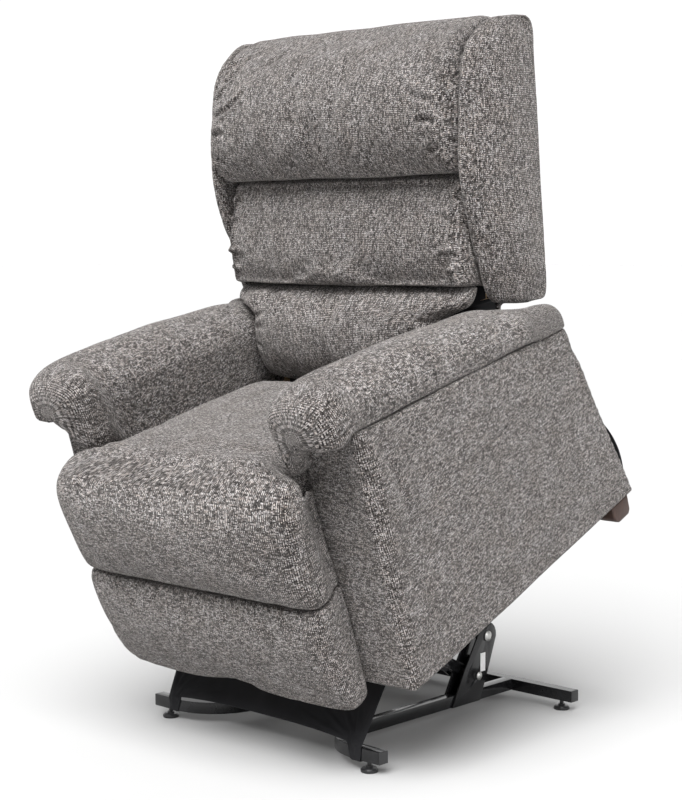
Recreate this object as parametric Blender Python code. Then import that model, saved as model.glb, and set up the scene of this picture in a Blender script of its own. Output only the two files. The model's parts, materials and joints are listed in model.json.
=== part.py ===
"""Lift recliner chair on a black steel tube base, drawn with the seat raised and tipped forward.

Metres, +Z up, the sitter faces -Y, +X is the sitter's left.
Base pieces are drawn in the world frame, less CENTRE_SHIFT.  Everything that rides with the seat
is drawn in the seat frame: Y runs back from the lower front corner of the side panels, Z up from their lower
edge, as the chair stands when it is down.  The seat frame is then tipped by SEAT_TILT.
"""
import bpy
import bmesh
from math import radians, degrees, pi, sin, cos, atan2, hypot
from mathutils import Vector

# ---- whole chair ------------------------------------------------------------------------
CENTRE_SHIFT = -0.010          # puts the middle of the overall box on the world's Y = 0

# ---- base -----------------------------------------------------------------------------
TUBE = 0.025
TUBE_WALL = 0.0015
TUBE_BOTTOM = 0.022
TUBE_MID = TUBE_BOTTOM + TUBE / 2
RAIL_X = 0.149
REAR_TUBE_Y = 0.449
FRONT_TUBE_Y = -0.184
FRONT_END_X = 0.329
REAR_END_X = 0.327
BEND_R = 0.115
FOOT_X = 0.291
FOOT_R = 0.0175
CAP_T = 0.003
FIT = 0.0004

# ---- lift linkage (Y, Z) in the world, chair raised --------------------------------------
LIFT_PIVOT = (0.342, 0.162)
LOWER_PIVOT = (0.312, 0.078)
LIFT_ARM = 0.400
LIFT_ANGLE = radians(22.13)
LOWER_ANGLE = radians(27.10)
LOWER_LINK = 0.4025
LIFT_X = (0.1525, 0.1585)
LOWER_X = (0.1395, 0.1455)
TOWER_OUT = (0.1619, 0.1659)
TOWER_IN = (0.1321, 0.1361)
LIFT_TUBE_AT = 0.240
LUG_AT = 0.250
LUG_TURN = -0.226
MOTOR_PIVOT = (0.402, 0.058)

# ---- seat frame ---------------------------------------------------------------------------
SEAT_TILT = radians(23.5)
CHAIR_PIVOT = (0.2216, 0.0439)
CHAIR_LOWER = (0.1845, 0.0040)
RECLINE_PIVOT = (0.500, 0.330)
FOOTREST_PIVOT = (-0.092, 0.447)
LINK_FRAME = (0.160, 0.280)
LINK_BOARD = (0.005, 0.210)
BACK_MOTOR = (0.2476, 0.2183)
BACK_LUG = (0.5599, 0.2744)
BACK_LEAN = radians(17.5)

ARM_OUT = 0.435
ARM_PANEL_IN = 0.405
ARM_IN = 0.2745
ARM_REAR = 0.585
PANEL_LOW_REAR = (0.783, 0.0)
PANEL_TOP_REAR = (0.692, 0.4315)
PANEL_TOP_FRONT = (0.053, 0.5265)
SEAT_HALF = 0.2605
OTTOMAN_HALF = 0.334

TAU = 2 * pi


# ---- helpers --------------------------------------------------------------------------------
def clear_scene():
    for ob in list(bpy.data.objects):
        bpy.data.objects.remove(ob, do_unlink=True)


def material(name, colour, metallic=0.0, rough=0.6):
    mat = bpy.data.materials.new(name)
    mat.use_nodes = True
    bsdf = mat.node_tree.nodes["Principled BSDF"]
    bsdf.inputs["Base Color"].default_value = (*colour, 1.0)
    bsdf.inputs["Metallic"].default_value = metallic
    bsdf.inputs["Roughness"].default_value = rough
    mat.diffuse_color = (*colour, 1.0)
    return mat


class Frame:
    """An axis that pieces hang from: `at` is where it sits in the coordinates they are drawn in."""

    def __init__(self, name, at, world=None, tilt=0.0, parent=None):
        self.at = at
        self.empty = bpy.data.objects.new(name, None)
        self.empty.empty_display_size = 0.05
        bpy.context.collection.objects.link(self.empty)
        if parent is not None:
            self.empty.parent = parent.empty
            self.empty.location = (0.0, at[0] - parent.at[0], at[1] - parent.at[1])
        else:
            place = world if world is not None else at
            self.empty.location = (0.0, place[0] + CENTRE_SHIFT, place[1])
        self.empty.rotation_euler = (tilt, 0.0, 0.0)


def finish(bm, name, frame, mat):
    bmesh.ops.remove_doubles(bm, verts=bm.verts, dist=1e-6)
    bmesh.ops.recalc_face_normals(bm, faces=bm.faces)
    bmesh.ops.translate(bm, verts=bm.verts, vec=(0.0, -frame.at[0], -frame.at[1]))
    mesh = bpy.data.meshes.new(name)
    bm.to_mesh(mesh)
    bm.free()
    ob = bpy.data.objects.new(name, mesh)
    bpy.context.collection.objects.link(ob)
    ob.parent = frame.empty
    ob.data.materials.append(mat)
    return ob


def helper(ob):
    """Marks a piece that only shapes another one."""
    ob.hide_render = True
    ob.display_type = "WIRE"
    return ob


def combine(target, other, operation):
    mod = target.modifiers.new(operation.lower() + "_" + other.name, "BOOLEAN")
    mod.operation = operation
    mod.solver = "EXACT"
    mod.object = helper(other)
    return target


def join(target, *others):
    for other in others:
        combine(target, other, "UNION")
    return target


def cut(target, *others):
    for other in others:
        combine(target, other, "DIFFERENCE")
    return target


def arc(centre, radius, start, stop, count):
    """Points on a round corner, from one angle to another in degrees."""
    points = []
    for k in range(count):
        angle = radians(start + (stop - start) * k / (count - 1))
        points.append((centre[0] + radius * cos(angle), centre[1] + radius * sin(angle)))
    return points


def circle(centre, radius, count=20):
    return arc(centre, radius, 0, 360 - 360 / count, count)


def capsule(a, b, radius, count=9):
    """Outline of a bar with round ends, between two (Y, Z) points."""
    turn = degrees(atan2(b[1] - a[1], b[0] - a[0]))
    return arc(b, radius, turn - 90, turn + 90, count) + arc(a, radius, turn + 90, turn + 270, count)


def add_plate(bm, outer, holes, x0, x1, to_yz=None):
    """A flat plate across X with an outline and holes given in (Y, Z)."""
    loops = []
    for loop in [outer] + list(holes):
        pts = [to_yz(*p) if to_yz else p for p in loop]
        loops.append([bm.verts.new((x0, y, z)) for y, z in pts])
    edges = []
    for loop in loops:
        for k, vert in enumerate(loop):
            edges.append(bm.edges.new((vert, loop[(k + 1) % len(loop)])))
    made = bmesh.ops.triangle_fill(bm, use_beauty=True, use_dissolve=False, edges=edges)
    faces = [g for g in made["geom"] if isinstance(g, bmesh.types.BMFace)]
    grown = bmesh.ops.extrude_face_region(bm, geom=faces)
    moved = [g for g in grown["geom"] if isinstance(g, bmesh.types.BMVert)]
    bmesh.ops.translate(bm, verts=moved, vec=(x1 - x0, 0.0, 0.0))


def plate(name, frame, mat, outer, holes, x0, x1, to_yz=None):
    bm = bmesh.new()
    add_plate(bm, outer, holes, x0, x1, to_yz)
    return finish(bm, name, frame, mat)


def box(name, frame, mat, low, high):
    bm = bmesh.new()
    bmesh.ops.create_cube(bm, size=1.0)
    for vert in bm.verts:
        vert.co = Vector([low[i] + (vert.co[i] + 0.5) * (high[i] - low[i]) for i in range(3)])
    return finish(bm, name, frame, mat)


def add_loft(bm, rings):
    rows = [[bm.verts.new(p) for p in ring] for ring in rings]
    count = len(rows[0])
    for a, b in zip(rows, rows[1:]):
        for k in range(count):
            n = (k + 1) % count
            bm.faces.new((a[k], a[n], b[n], b[k]))
    bm.faces.new(rows[0])
    bm.faces.new(rows[-1])


def loft(name, frame, mat, rings):
    bm = bmesh.new()
    add_loft(bm, rings)
    return finish(bm, name, frame, mat)


def lathe(name, frame, mat, profile, centre, axis, count=24):
    """Turns a closed (radius, height) profile around an axis; radius 0 points close the ends."""
    bm = bmesh.new()
    axis = Vector(axis).normalized()
    side = axis.orthogonal().normalized()
    other = axis.cross(side)
    rows = []
    for radius, height in profile:
        base = Vector(centre) + axis * height
        if radius < 1e-9:
            rows.append([bm.verts.new(base)])
            continue
        row = []
        for k in range(count):
            angle = TAU * k / count
            row.append(bm.verts.new(base + side * radius * cos(angle) + other * radius * sin(angle)))
        rows.append(row)
    for a, b in zip(rows, rows[1:]):
        for k in range(count):
            n = (k + 1) % count
            if len(a) == 1:
                bm.faces.new((a[0], b[k], b[n]))
            elif len(b) == 1:
                bm.faces.new((a[k], a[n], b[0]))
            else:
                bm.faces.new((a[k], a[n], b[n], b[k]))
    return finish(bm, name, frame, mat)


def rod(name, frame, mat, start, end, radius, count=20):
    start = Vector(start)
    run = Vector(end) - start
    profile = [(0.0, 0.0), (radius, 0.0), (radius, run.length), (0.0, run.length)]
    return lathe(name, frame, mat, profile, start, run, count)


def rounded(half_a, half_b, power=3.2, count=24):
    """Rounded-rectangle section about its centre."""
    points = []
    for k in range(count):
        c = cos(TAU * (k + 0.5) / count)
        s = sin(TAU * (k + 0.5) / count)
        scale = (abs(c) ** power + abs(s) ** power) ** (-1.0 / power)
        points.append((half_a * c * scale, half_b * s * scale))
    return points


# ---- base ------------------------------------------------------------------------------------
def rail_path():
    """Centre line of the left rail in (X, Y): from the rear tube forward, then out to the foot."""
    points = [(RAIL_X, REAR_TUBE_Y - TUBE / 2 - 0.0006)]
    centre = (RAIL_X + BEND_R, FRONT_TUBE_Y + BEND_R)
    for k in range(13):
        angle = pi + (pi / 2) * k / 12
        points.append((centre[0] + BEND_R * cos(angle), centre[1] + BEND_R * sin(angle)))
    points.append((FRONT_END_X - CAP_T, FRONT_TUBE_Y))
    return points


def square_tube(name, frame, mat, path, sign, bottom=TUBE_BOTTOM):
    """A hollow square tube swept level along an (X, Y) path; sign mirrors it across X."""
    bm = bmesh.new()
    skins = []
    for inset in (0.0, TUBE_WALL):
        half = TUBE / 2 - inset
        rows = []
        for k, (x, y) in enumerate(path):
            before = path[max(k - 1, 0)]
            after = path[min(k + 1, len(path) - 1)]
            run = Vector((after[0] - before[0], after[1] - before[1])).normalized()
            side = Vector((run.y, -run.x))
            row = []
            for across, up in ((-half, inset), (half, inset), (half, TUBE - inset), (-half, TUBE - inset)):
                row.append(bm.verts.new((sign * (x + side.x * across), y + side.y * across, bottom + up)))
            rows.append(row)
        for a, b in zip(rows, rows[1:]):
            for k in range(4):
                n = (k + 1) % 4
                bm.faces.new((a[k], a[n], b[n], b[k]))
        skins.append(rows)
    for end in (0, -1):
        outer, inner = skins[0][end], skins[1][end]
        for k in range(4):
            n = (k + 1) % 4
            bm.faces.new((outer[k], outer[n], inner[n], inner[k]))
    return finish(bm, name, frame, mat)


def foot_hole(name, frame, mat, x, y):
    return rod(name, frame, mat, (x, y, TUBE_BOTTOM - 0.004), (x, y, TUBE_BOTTOM + 0.006), 0.0049, 16)


def base_rails(root, steel):
    for side, sign in (("left", 1), ("right", -1)):
        rail = square_tube("base_rail_" + side, root, steel, rail_path(), sign)
        cut(rail, foot_hole("rail_hole_" + side, root, steel, sign * FOOT_X, FRONT_TUBE_Y))


def base_rear_tube(root, steel):
    reach = REAR_END_X - CAP_T
    tube = square_tube("base_rear_tube", root, steel, [(-reach, REAR_TUBE_Y), (reach, REAR_TUBE_Y)], 1)
    cut(tube, foot_hole("rear_hole_l", root, steel, FOOT_X, REAR_TUBE_Y))
    cut(tube, foot_hole("rear_hole_r", root, steel, -FOOT_X, REAR_TUBE_Y))


def end_caps(root, plastic):
    ends = (
        ("front_left", 1, FRONT_END_X, FRONT_TUBE_Y),
        ("front_right", -1, FRONT_END_X, FRONT_TUBE_Y),
        ("rear_left", 1, REAR_END_X, REAR_TUBE_Y),
        ("rear_right", -1, REAR_END_X, REAR_TUBE_Y),
    )
    plug = TUBE / 2 - TUBE_WALL - FIT
    for name, sign, x, y in ends:
        rings = []
        for inward, half in (
            (CAP_T + 0.010, plug), (CAP_T - 0.0002, plug), (CAP_T - 0.0002, TUBE / 2), (0.001, TUBE / 2),
            (0.0, TUBE / 2 - 0.001),
        ):
            xx = sign * (x - inward)
            rings.append([
                (xx, y - half, TUBE_MID - half),
                (xx, y + half, TUBE_MID - half),
                (xx, y + half, TUBE_MID + half),
                (xx, y - half, TUBE_MID + half),
            ])
        loft("end_cap_" + name, root, plastic, rings)


def levelling_feet(root, rubber):
    spots = (
        ("front_left", FOOT_X, FRONT_TUBE_Y),
        ("front_right", -FOOT_X, FRONT_TUBE_Y),
        ("rear_left", FOOT_X, REAR_TUBE_Y),
        ("rear_right", -FOOT_X, REAR_TUBE_Y),
    )
    profile = [
        (0.0, 0.0), (FOOT_R - 0.001, 0.0), (FOOT_R, 0.0015), (FOOT_R, 0.0055), (FOOT_R - 0.003, 0.0085),
        (0.0075, 0.0095), (0.0075, 0.0125), (0.0044, 0.0125), (0.0044, 0.034), (0.0, 0.034),
    ]
    for name, x, y in spots:
        lathe("levelling_foot_" + name, root, rubber, profile, (x, y, 0.0), (0, 0, 1), 20)


def tower_outline():
    low = [(0.222, TUBE_BOTTOM), (0.317, TUBE_BOTTOM), (0.345, 0.086)]
    return low + arc(LIFT_PIVOT, 0.031, -8, 160, 9) + [(0.264, 0.098)]


def towers(root, steel):
    """A pair of plates straddling each rail, tied together by a web behind the links."""
    for side, sign in (("left", 1), ("right", -1)):
        holes = [circle(LIFT_PIVOT, 0.0064, 16), circle(LOWER_PIVOT, 0.0054, 16)]
        outer = plate(
            "tower_" + side, root, steel, tower_outline(), holes, sign * TOWER_OUT[0], sign * TOWER_OUT[1],
        )
        inner = plate(
            "tower_in_" + side, root, steel, tower_outline(), holes, sign * TOWER_IN[0], sign * TOWER_IN[1],
        )
        strip = [
            (0.3265, 0.0482), (0.3305, 0.0482), (0.3440, 0.0860), (0.3520, 0.1120), (0.3475, 0.1120),
            (0.3400, 0.0868),
        ]
        web = plate(
            "tower_web_" + side, root, steel, strip, [], sign * (TOWER_IN[0] + 0.002),
            sign * (TOWER_OUT[1] - 0.002),
        )
        join(outer, web, inner)


def rating_label(root, paper):
    box(
        "rating_label", root, paper, (TOWER_OUT[1] + 0.0002, 0.317, 0.086),
        (TOWER_OUT[1] + 0.0007, 0.334, 0.127),
    )


def bolt(name, frame, mat, at, x_in, x_out, sign, radius, head):
    """Domed head outside, round shank, nut inside; one turned piece."""
    profile = [
        (0.0, x_in - 0.0055), (head * 0.85, x_in - 0.0055), (head * 0.85, x_in - 0.0004),
        (radius, x_in - 0.0004),
        (radius, x_out + 0.0004), (head, x_out + 0.0004), (head, x_out + 0.0024),
        (head * 0.55, x_out + 0.0052), (0.0, x_out + 0.0058),
    ]
    return lathe(name, frame, mat, profile, (0.0, at[0], at[1]), (sign, 0, 0), 16)


def tower_bolts(root, zinc):
    for side, sign in (("left", 1), ("right", -1)):
        bolt("lift_bolt_" + side, root, zinc, LIFT_PIVOT, TOWER_IN[0], TOWER_OUT[1], sign, 0.0060, 0.0115)
        bolt("lower_bolt_" + side, root, zinc, LOWER_PIVOT, TOWER_IN[0], TOWER_OUT[1], sign, 0.0050, 0.0090)


def motor_clevis(root, steel):
    """Bracket on the rear tube that carries the lift motor, with its pin welded in."""
    y1 = REAR_TUBE_Y - TUBE / 2 - 0.0006
    ears = [(y1, 0.0225), (y1, 0.0465)] + arc(MOTOR_PIVOT, 0.013, 80, 280, 9)
    left = plate("motor_clevis", root, steel, ears, [], 0.0150, 0.0190)
    right = plate("clevis_ear", root, steel, ears, [], -0.0190, -0.0150)
    back = box("clevis_back", root, steel, (-0.0185, y1 - 0.004, 0.0235), (0.0185, y1 - 0.0002, 0.0455))
    pin = rod("clevis_pin", root, steel, (-0.0175, *MOTOR_PIVOT), (0.0175, *MOTOR_PIVOT), 0.0050, 16)
    join(left, back, right, pin)


# ---- lift arms -----------------------------------------------------------------------------------
def along(at, angle, reach):
    """Point reached from a pivot going forward (-Y) and up by an angle."""
    return (at[0] - reach * cos(angle), at[1] + reach * sin(angle))


def lift_frame(frame, steel):
    end = along(LIFT_PIVOT, LIFT_ANGLE, LIFT_ARM)
    tube_at = along(LIFT_PIVOT, LIFT_ANGLE, LIFT_TUBE_AT)
    lug_at = along(LIFT_PIVOT, LIFT_ANGLE + LUG_TURN, LUG_AT)
    holes = [circle(LIFT_PIVOT, 0.0064, 16), circle(end, 0.0064, 16)]
    outline = capsule(LIFT_PIVOT, end, 0.0125)
    body = plate("lift_frame", frame, steel, outline, holes, LIFT_X[0], LIFT_X[1])
    other = plate("lift_arm_right", frame, steel, outline, holes, -LIFT_X[1], -LIFT_X[0])
    tube = rod("lift_tube", frame, steel, (-0.1550, *tube_at), (0.1550, *tube_at), 0.0115, 20)
    lugs = []
    for k, (x0, x1) in enumerate(((0.0130, 0.0170), (-0.0170, -0.0130))):
        lugs.append(plate("lift_lug_%d" % k, frame, steel, capsule(tube_at, lug_at, 0.0150), [], x0, x1))
    pin = rod("lift_lug_pin", frame, steel, (-0.0150, *lug_at), (0.0150, *lug_at), 0.0045, 16)
    join(body, tube, other, lugs[0], lugs[1], pin)


def lower_links(frame, steel):
    end = along(LOWER_PIVOT, LOWER_ANGLE, LOWER_LINK)
    for side, sign in (("left", 1), ("right", -1)):
        holes = [circle(LOWER_PIVOT, 0.0054, 16), circle(end, 0.0085, 18)]
        plate(
            "lower_link_" + side, frame, steel, capsule(LOWER_PIVOT, end, 0.0118), holes, sign * LOWER_X[0],
            sign * LOWER_X[1],
        )


# ---- actuators --------------------------------------------------------------------------------------
def gear_case(name, frame, mat, at, run, length):
    """Gear case with a rear eye on the pivot and the motor can lying across."""
    across = (-run[1], run[0])

    def local(u, v):
        return (at[0] + run[0] * u + across[0] * v, at[1] + run[1] * u + across[1] * v)

    eye = plate(
        name, frame, mat, capsule(at, local(0.040, 0.0), 0.0115), [circle(at, 0.0054, 16)], -0.0075, 0.0075,
    )
    case = plate(
        name + "_case", frame, mat,
        [local(0.022, -0.017), local(length, -0.017), local(length, 0.017), local(0.022, 0.017)], [],
        -0.0240, 0.0240,
    )
    mid = local(0.5 * (0.022 + length), 0.0)
    can = rod(name + "_can", frame, mat, (-0.1180, *mid), (-0.0150, *mid), 0.0190, 24)
    join(eye, case, can)


def ram(name, frame, mat, at, run, start, stop):
    """Outer tube of a ram."""
    bm = bmesh.new()
    skins = []
    for radius in (0.0150, 0.0094):
        rows = []
        for u in (start, stop):
            rows.append([
                bm.verts.new((b, at[0] + run[0] * u - run[1] * a, at[1] + run[1] * u + run[0] * a))
                for b, a in circle((0.0, 0.0), radius, 20)
            ])
        skins.append(rows)
        for k in range(20):
            n = (k + 1) % 20
            bm.faces.new((rows[0][k], rows[0][n], rows[1][n], rows[1][k]))
    for end in (0, 1):
        for k in range(20):
            n = (k + 1) % 20
            bm.faces.new((skins[0][end][k], skins[0][end][n], skins[1][end][n], skins[1][end][k]))
    return finish(bm, name, frame, mat)


def ram_rod(name, frame, mat, at, run, start, eye_at):
    eye = plate(name, frame, mat, circle(eye_at, 0.0120, 22), [circle(eye_at, 0.0084, 18)], -0.0085, 0.0085)
    base = (0.0, at[0] + run[0] * start, at[1] + run[1] * start)
    top = (0.0, eye_at[0] - run[0] * 0.0100, eye_at[1] - run[1] * 0.0100)
    join(eye, rod(name + "_bar", frame, mat, base, top, 0.0080, 18))


def direction(a, b):
    length = hypot(b[0] - a[0], b[1] - a[1])
    return ((b[0] - a[0]) / length, (b[1] - a[1]) / length), length


def lift_actuator(body, slide, case, tube, chrome):
    lug_at = along(LIFT_PIVOT, LIFT_ANGLE + LUG_TURN, LUG_AT)
    run, length = direction(MOTOR_PIVOT, lug_at)
    gear_case("lift_motor", body, case, MOTOR_PIVOT, run, 0.082)
    ram("lift_ram", body, tube, MOTOR_PIVOT, run, 0.0824, length - 0.068)
    ram_rod("lift_rod", slide, chrome, MOTOR_PIVOT, run, 0.155, lug_at)


def back_actuator(body, slide, case, tube, chrome):
    run, length = direction(BACK_MOTOR, BACK_LUG)
    gear_case("back_motor", body, case, BACK_MOTOR, run, 0.082)
    ram("back_ram", body, tube, BACK_MOTOR, run, 0.0824, length - 0.078)
    ram_rod("back_rod", slide, chrome, BACK_MOTOR, run, 0.150, BACK_LUG)


# ---- seat unit --------------------------------------------------------------------------------------
def panel_top(y):
    a, b = PANEL_TOP_FRONT, PANEL_TOP_REAR
    return a[1] + (y - a[0]) * (b[1] - a[1]) / (b[0] - a[0])


def arm_boxes(chair, fabric):
    """Outer side panel with the front box of the arm standing inside it."""
    front = [(0.0, 0.0), (ARM_REAR, 0.0), (ARM_REAR, panel_top(ARM_REAR)), PANEL_TOP_FRONT]
    side_panel = [(0.0, 0.0), PANEL_LOW_REAR, PANEL_TOP_REAR, PANEL_TOP_FRONT]
    for side, sign in (("left", 1), ("right", -1)):
        panel = plate("arm_box_" + side, chair, fabric, side_panel, [], sign * ARM_PANEL_IN, sign * ARM_OUT)
        inner = plate("arm_core_" + side, chair, fabric, front, [], sign * ARM_IN, sign * (ARM_OUT - 0.001))
        join(panel, inner)


def arm_pads(chair, fabric):
    """Rolled pads that swell over the front of the arms and sink toward the back."""
    stations = [
        (-0.022, 0.532, 0.574, 0.042), (-0.018, 0.514, 0.590, 0.060), (-0.008, 0.502, 0.604, 0.073),
        (0.010, 0.495, 0.615, 0.082),
        (0.0480, 0.493, 0.625, 0.086), (0.0525, 0.5272, 0.627, 0.086), (0.150, None, 0.616, 0.086),
        (0.300, None, 0.589, 0.086),
        (0.450, None, 0.555, 0.086), (0.530, None, 0.534, 0.085), (0.562, None, 0.521, 0.082),
        (0.582, None, 0.498, 0.074),
    ]
    tail = [(0.552, 0.064), (0.600, 0.062), (0.650, 0.060), (0.676, 0.052), (0.688, 0.034)]
    for side, sign in (("left", 1), ("right", -1)):
        rings = []
        for y, low, high, half in stations:
            bottom = low if low is not None else panel_top(y) + 0.0006
            middle = 0.5 * (bottom + high)
            ring = []
            for a, b in rounded(half, 0.5 * (high - bottom), 2.8, 24):
                ring.append((sign * (0.3540 + a), y, middle + b))
            rings.append(ring)
        pad = loft("arm_pad_" + side, chair, fabric, rings)
        rings = []
        for y, thick in tail:
            low = panel_top(y) + 0.0007
            ring = []
            for a, b in rounded(0.0190, 0.5 * thick, 3.2, 16):
                ring.append((sign * (0.4195 + a), y, low + 0.5 * thick + b))
            rings.append(ring)
        join(pad, loft("arm_pad_tail_" + side, chair, fabric, rings))


def seat_cushion(chair, fabric):
    stations = [
        (-0.107, 0.409, 0.430, 0.255), (-0.103, 0.4075, 0.440, 0.295), (-0.093, 0.407, 0.451, 0.317),
        (-0.070, 0.407, 0.463, 0.330),
        (-0.040, 0.407, 0.473, 0.334), (-0.012, 0.407, 0.478, 0.330), (-0.006, 0.400, 0.478, 0.262),
        (0.004, 0.3255, 0.477, SEAT_HALF),
        (0.060, 0.325, 0.471, SEAT_HALF), (0.176, 0.325, 0.452, SEAT_HALF),
        (0.320, 0.325, 0.424, SEAT_HALF), (0.440, 0.325, 0.400, SEAT_HALF),
        (0.458, 0.326, 0.392, 0.255), (0.464, 0.331, 0.384, 0.248),
    ]
    rings = []
    for y, low, high, half in stations:
        middle = 0.5 * (low + high)
        rings.append([(a, y, middle + b) for a, b in rounded(half, 0.5 * (high - low), 5.0, 28)])
    loft("seat_cushion", chair, fabric, rings)


def seat_frame(chair, wood):
    """Timber frame under the cushion that the springs are strung across."""
    body = box("seat_frame", chair, wood, (-0.2720, 0.0300, 0.2500), (0.2720, 0.0550, 0.3190))
    back = box("seat_frame_back", chair, wood, (-0.2720, 0.4450, 0.2850), (0.2720, 0.4700, 0.3190))
    left = box("seat_frame_l", chair, wood, (0.2470, 0.0400, 0.2850), (0.2715, 0.4600, 0.3185))
    right = box("seat_frame_r", chair, wood, (-0.2715, 0.0400, 0.2850), (-0.2470, 0.4600, 0.3185))
    join(body, left, back, right)


def seat_springs(chair, steel):
    """Zigzag wires that run from front to back rail."""
    wire = 0.0018
    for index, x in enumerate((-0.150, 0.0, 0.150)):
        path = [(x, 0.0556), (x, 0.0590)]
        count = 12
        for k in range(count):
            y0 = 0.0700 + 0.360 * k / count
            y1 = 0.0700 + 0.360 * (k + 0.5) / count
            reach = 0.030 if k % 2 == 0 else -0.030
            path.append((x + reach, y0 + 0.002))
            path.append((x + reach, y1 + 0.002))
        path.append((x, 0.4400))
        path.append((x, 0.4444))
        rings = []
        for k, (px, py) in enumerate(path):
            before = path[max(k - 1, 0)]
            after = path[min(k + 1, len(path) - 1)]
            run = Vector((after[0] - before[0], after[1] - before[1], 0.0)).normalized()
            if k in (0, len(path) - 1):
                run = Vector((0.0, 1.0, 0.0))
            side = Vector((-run.y, run.x, 0.0))
            ring = []
            for q in range(6):
                angle = TAU * q / 6
                level = side * wire * cos(angle)
                ring.append((px + level.x, py + level.y, 0.3050 + wire * sin(angle)))
            rings.append(ring)
        loft("seat_spring_%d" % (index + 1), chair, steel, rings)


def mech_frame(chair, steel):
    """Welded carrier: two long rails, cross tubes, hanger plates for the lift links and uprights."""
    body = box("mech_frame", chair, steel, (0.1725, 0.0700, 0.1000), (0.1975, 0.7100, 0.1250))
    pieces = [box("mech_rail_r", chair, steel, (-0.1975, 0.0700, 0.1000), (-0.1725, 0.7100, 0.1250))]
    for name, y, reach in (("front", 0.0720, 0.1960), ("mid", 0.2350, 0.1960), ("rear", 0.6840, 0.4040)):
        pieces.append(
            box("mech_cross_" + name, chair, steel, (-reach, y, 0.1200), (reach, y + 0.0250, 0.1450)),
        )
    hanger = [(0.150, 0.1180), (0.150, 0.0500)]
    hanger += arc(CHAIR_LOWER, 0.0135, 180, 312, 7)
    hanger += [(CHAIR_PIVOT[0] + 0.0150, CHAIR_PIVOT[1] - 0.004), (0.262, 0.1180)]
    for side, sign in (("l", 1), ("r", -1)):
        pieces.append(plate("hanger_" + side, chair, steel, hanger, [], sign * 0.1610, sign * 0.1650))
        tab = [(0.160, 0.1010), (0.252, 0.1010), (0.252, 0.1160), (0.160, 0.1160)]
        pieces.append(plate("hanger_tab_" + side, chair, steel, tab, [], sign * 0.1620, sign * 0.1740))
        studs = (("lift", 0.1500, CHAIR_PIVOT, 0.0060), ("lower", 0.1370, CHAIR_LOWER, 0.0050))
        for name, inner, at, radius in studs:
            start, end = (sign * inner, *at), (sign * 0.1640, *at)
            pieces.append(rod(name + "_stud_" + side, chair, steel, start, end, radius, 16))
        upright = [(0.130, 0.1100), (0.190, 0.1100)] + arc(LINK_FRAME, 0.0200, 0, 180, 10)
        bore = circle(LINK_FRAME, 0.0116, 20)
        pieces.append(plate("upright_" + side, chair, steel, upright, [bore], sign * 0.1960, sign * 0.2000))
    ears = [(0.2360, 0.1400), (0.2590, 0.1400)] + arc(BACK_MOTOR, 0.0120, 0, 180, 9)
    pieces.append(plate("back_ear_l", chair, steel, ears, [], 0.0150, 0.0190))
    pieces.append(plate("back_ear_r", chair, steel, ears, [], -0.0190, -0.0150))
    pieces.append(
        rod("back_ear_pin", chair, steel, (-0.0170, *BACK_MOTOR), (0.0170, *BACK_MOTOR), 0.0050, 16),
    )
    join(body, *pieces)


def wooden_feet(chair, wood):
    shape = [
        (0.702, -0.0004), (0.702, -0.024), (0.706, -0.036), (0.716, -0.0440), (0.754, -0.0440),
        (0.762, -0.036), (0.765, -0.0004),
    ]
    for side, sign in (("left", 1), ("right", -1)):
        plate("wooden_foot_" + side, chair, wood, shape, [], sign * 0.384, sign * 0.4300)


def rear_panel(chair, fabric):
    shape = [(0.779, 0.004), (0.733, 0.222), (0.665, 0.222), (0.665, 0.206), (0.7175, 0.206), (0.7600, 0.004)]
    plate("rear_panel", chair, fabric, shape, [], -0.4045, 0.4045)


def dust_cover(chair, cloth):
    """Black cloth hung over the back of the base unit; it bellies out a little."""
    rings = []
    for k in range(9):
        x = -0.414 + 0.828 * k / 8
        swell = 0.024 + 0.014 * sin(pi * k / 8)
        ring = []
        for z, out in ((0.020, 0.3), (0.060, 0.85), (0.105, 1.0), (0.150, 0.85), (0.190, 0.3)):
            ring.append((x, 0.783 - 0.211 * z + 0.0015 + swell * out, z))
        for z in (0.190, 0.105, 0.020):
            ring.append((x, 0.783 - 0.211 * z + 0.0005, z))
        rings.append(ring)
    loft("dust_cover", chair, cloth, rings)


def control_box(chair, plastic):
    body = box("control_box", chair, plastic, (-0.1960, 0.2800, 0.1256), (-0.0800, 0.3900, 0.1640))
    inlet = box("inlet_socket", chair, plastic, (-0.1500, 0.3860, 0.1350), (-0.1260, 0.4040, 0.1530))
    mouth = box("inlet_mouth", chair, plastic, (-0.1470, 0.3940, 0.1380), (-0.1290, 0.4100, 0.1500))
    join(body, inlet)
    cut(body, mouth)


# ---- back ---------------------------------------------------------------------------------------------
def on_back(up, forward):
    """Seat-frame (Y, Z) of a point on the back: distance up from the hinge and forward of it."""
    return (
        RECLINE_PIVOT[0] + up * sin(BACK_LEAN) - forward * cos(BACK_LEAN),
        RECLINE_PIVOT[1] + up * cos(BACK_LEAN) + forward * sin(BACK_LEAN),
    )


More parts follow.
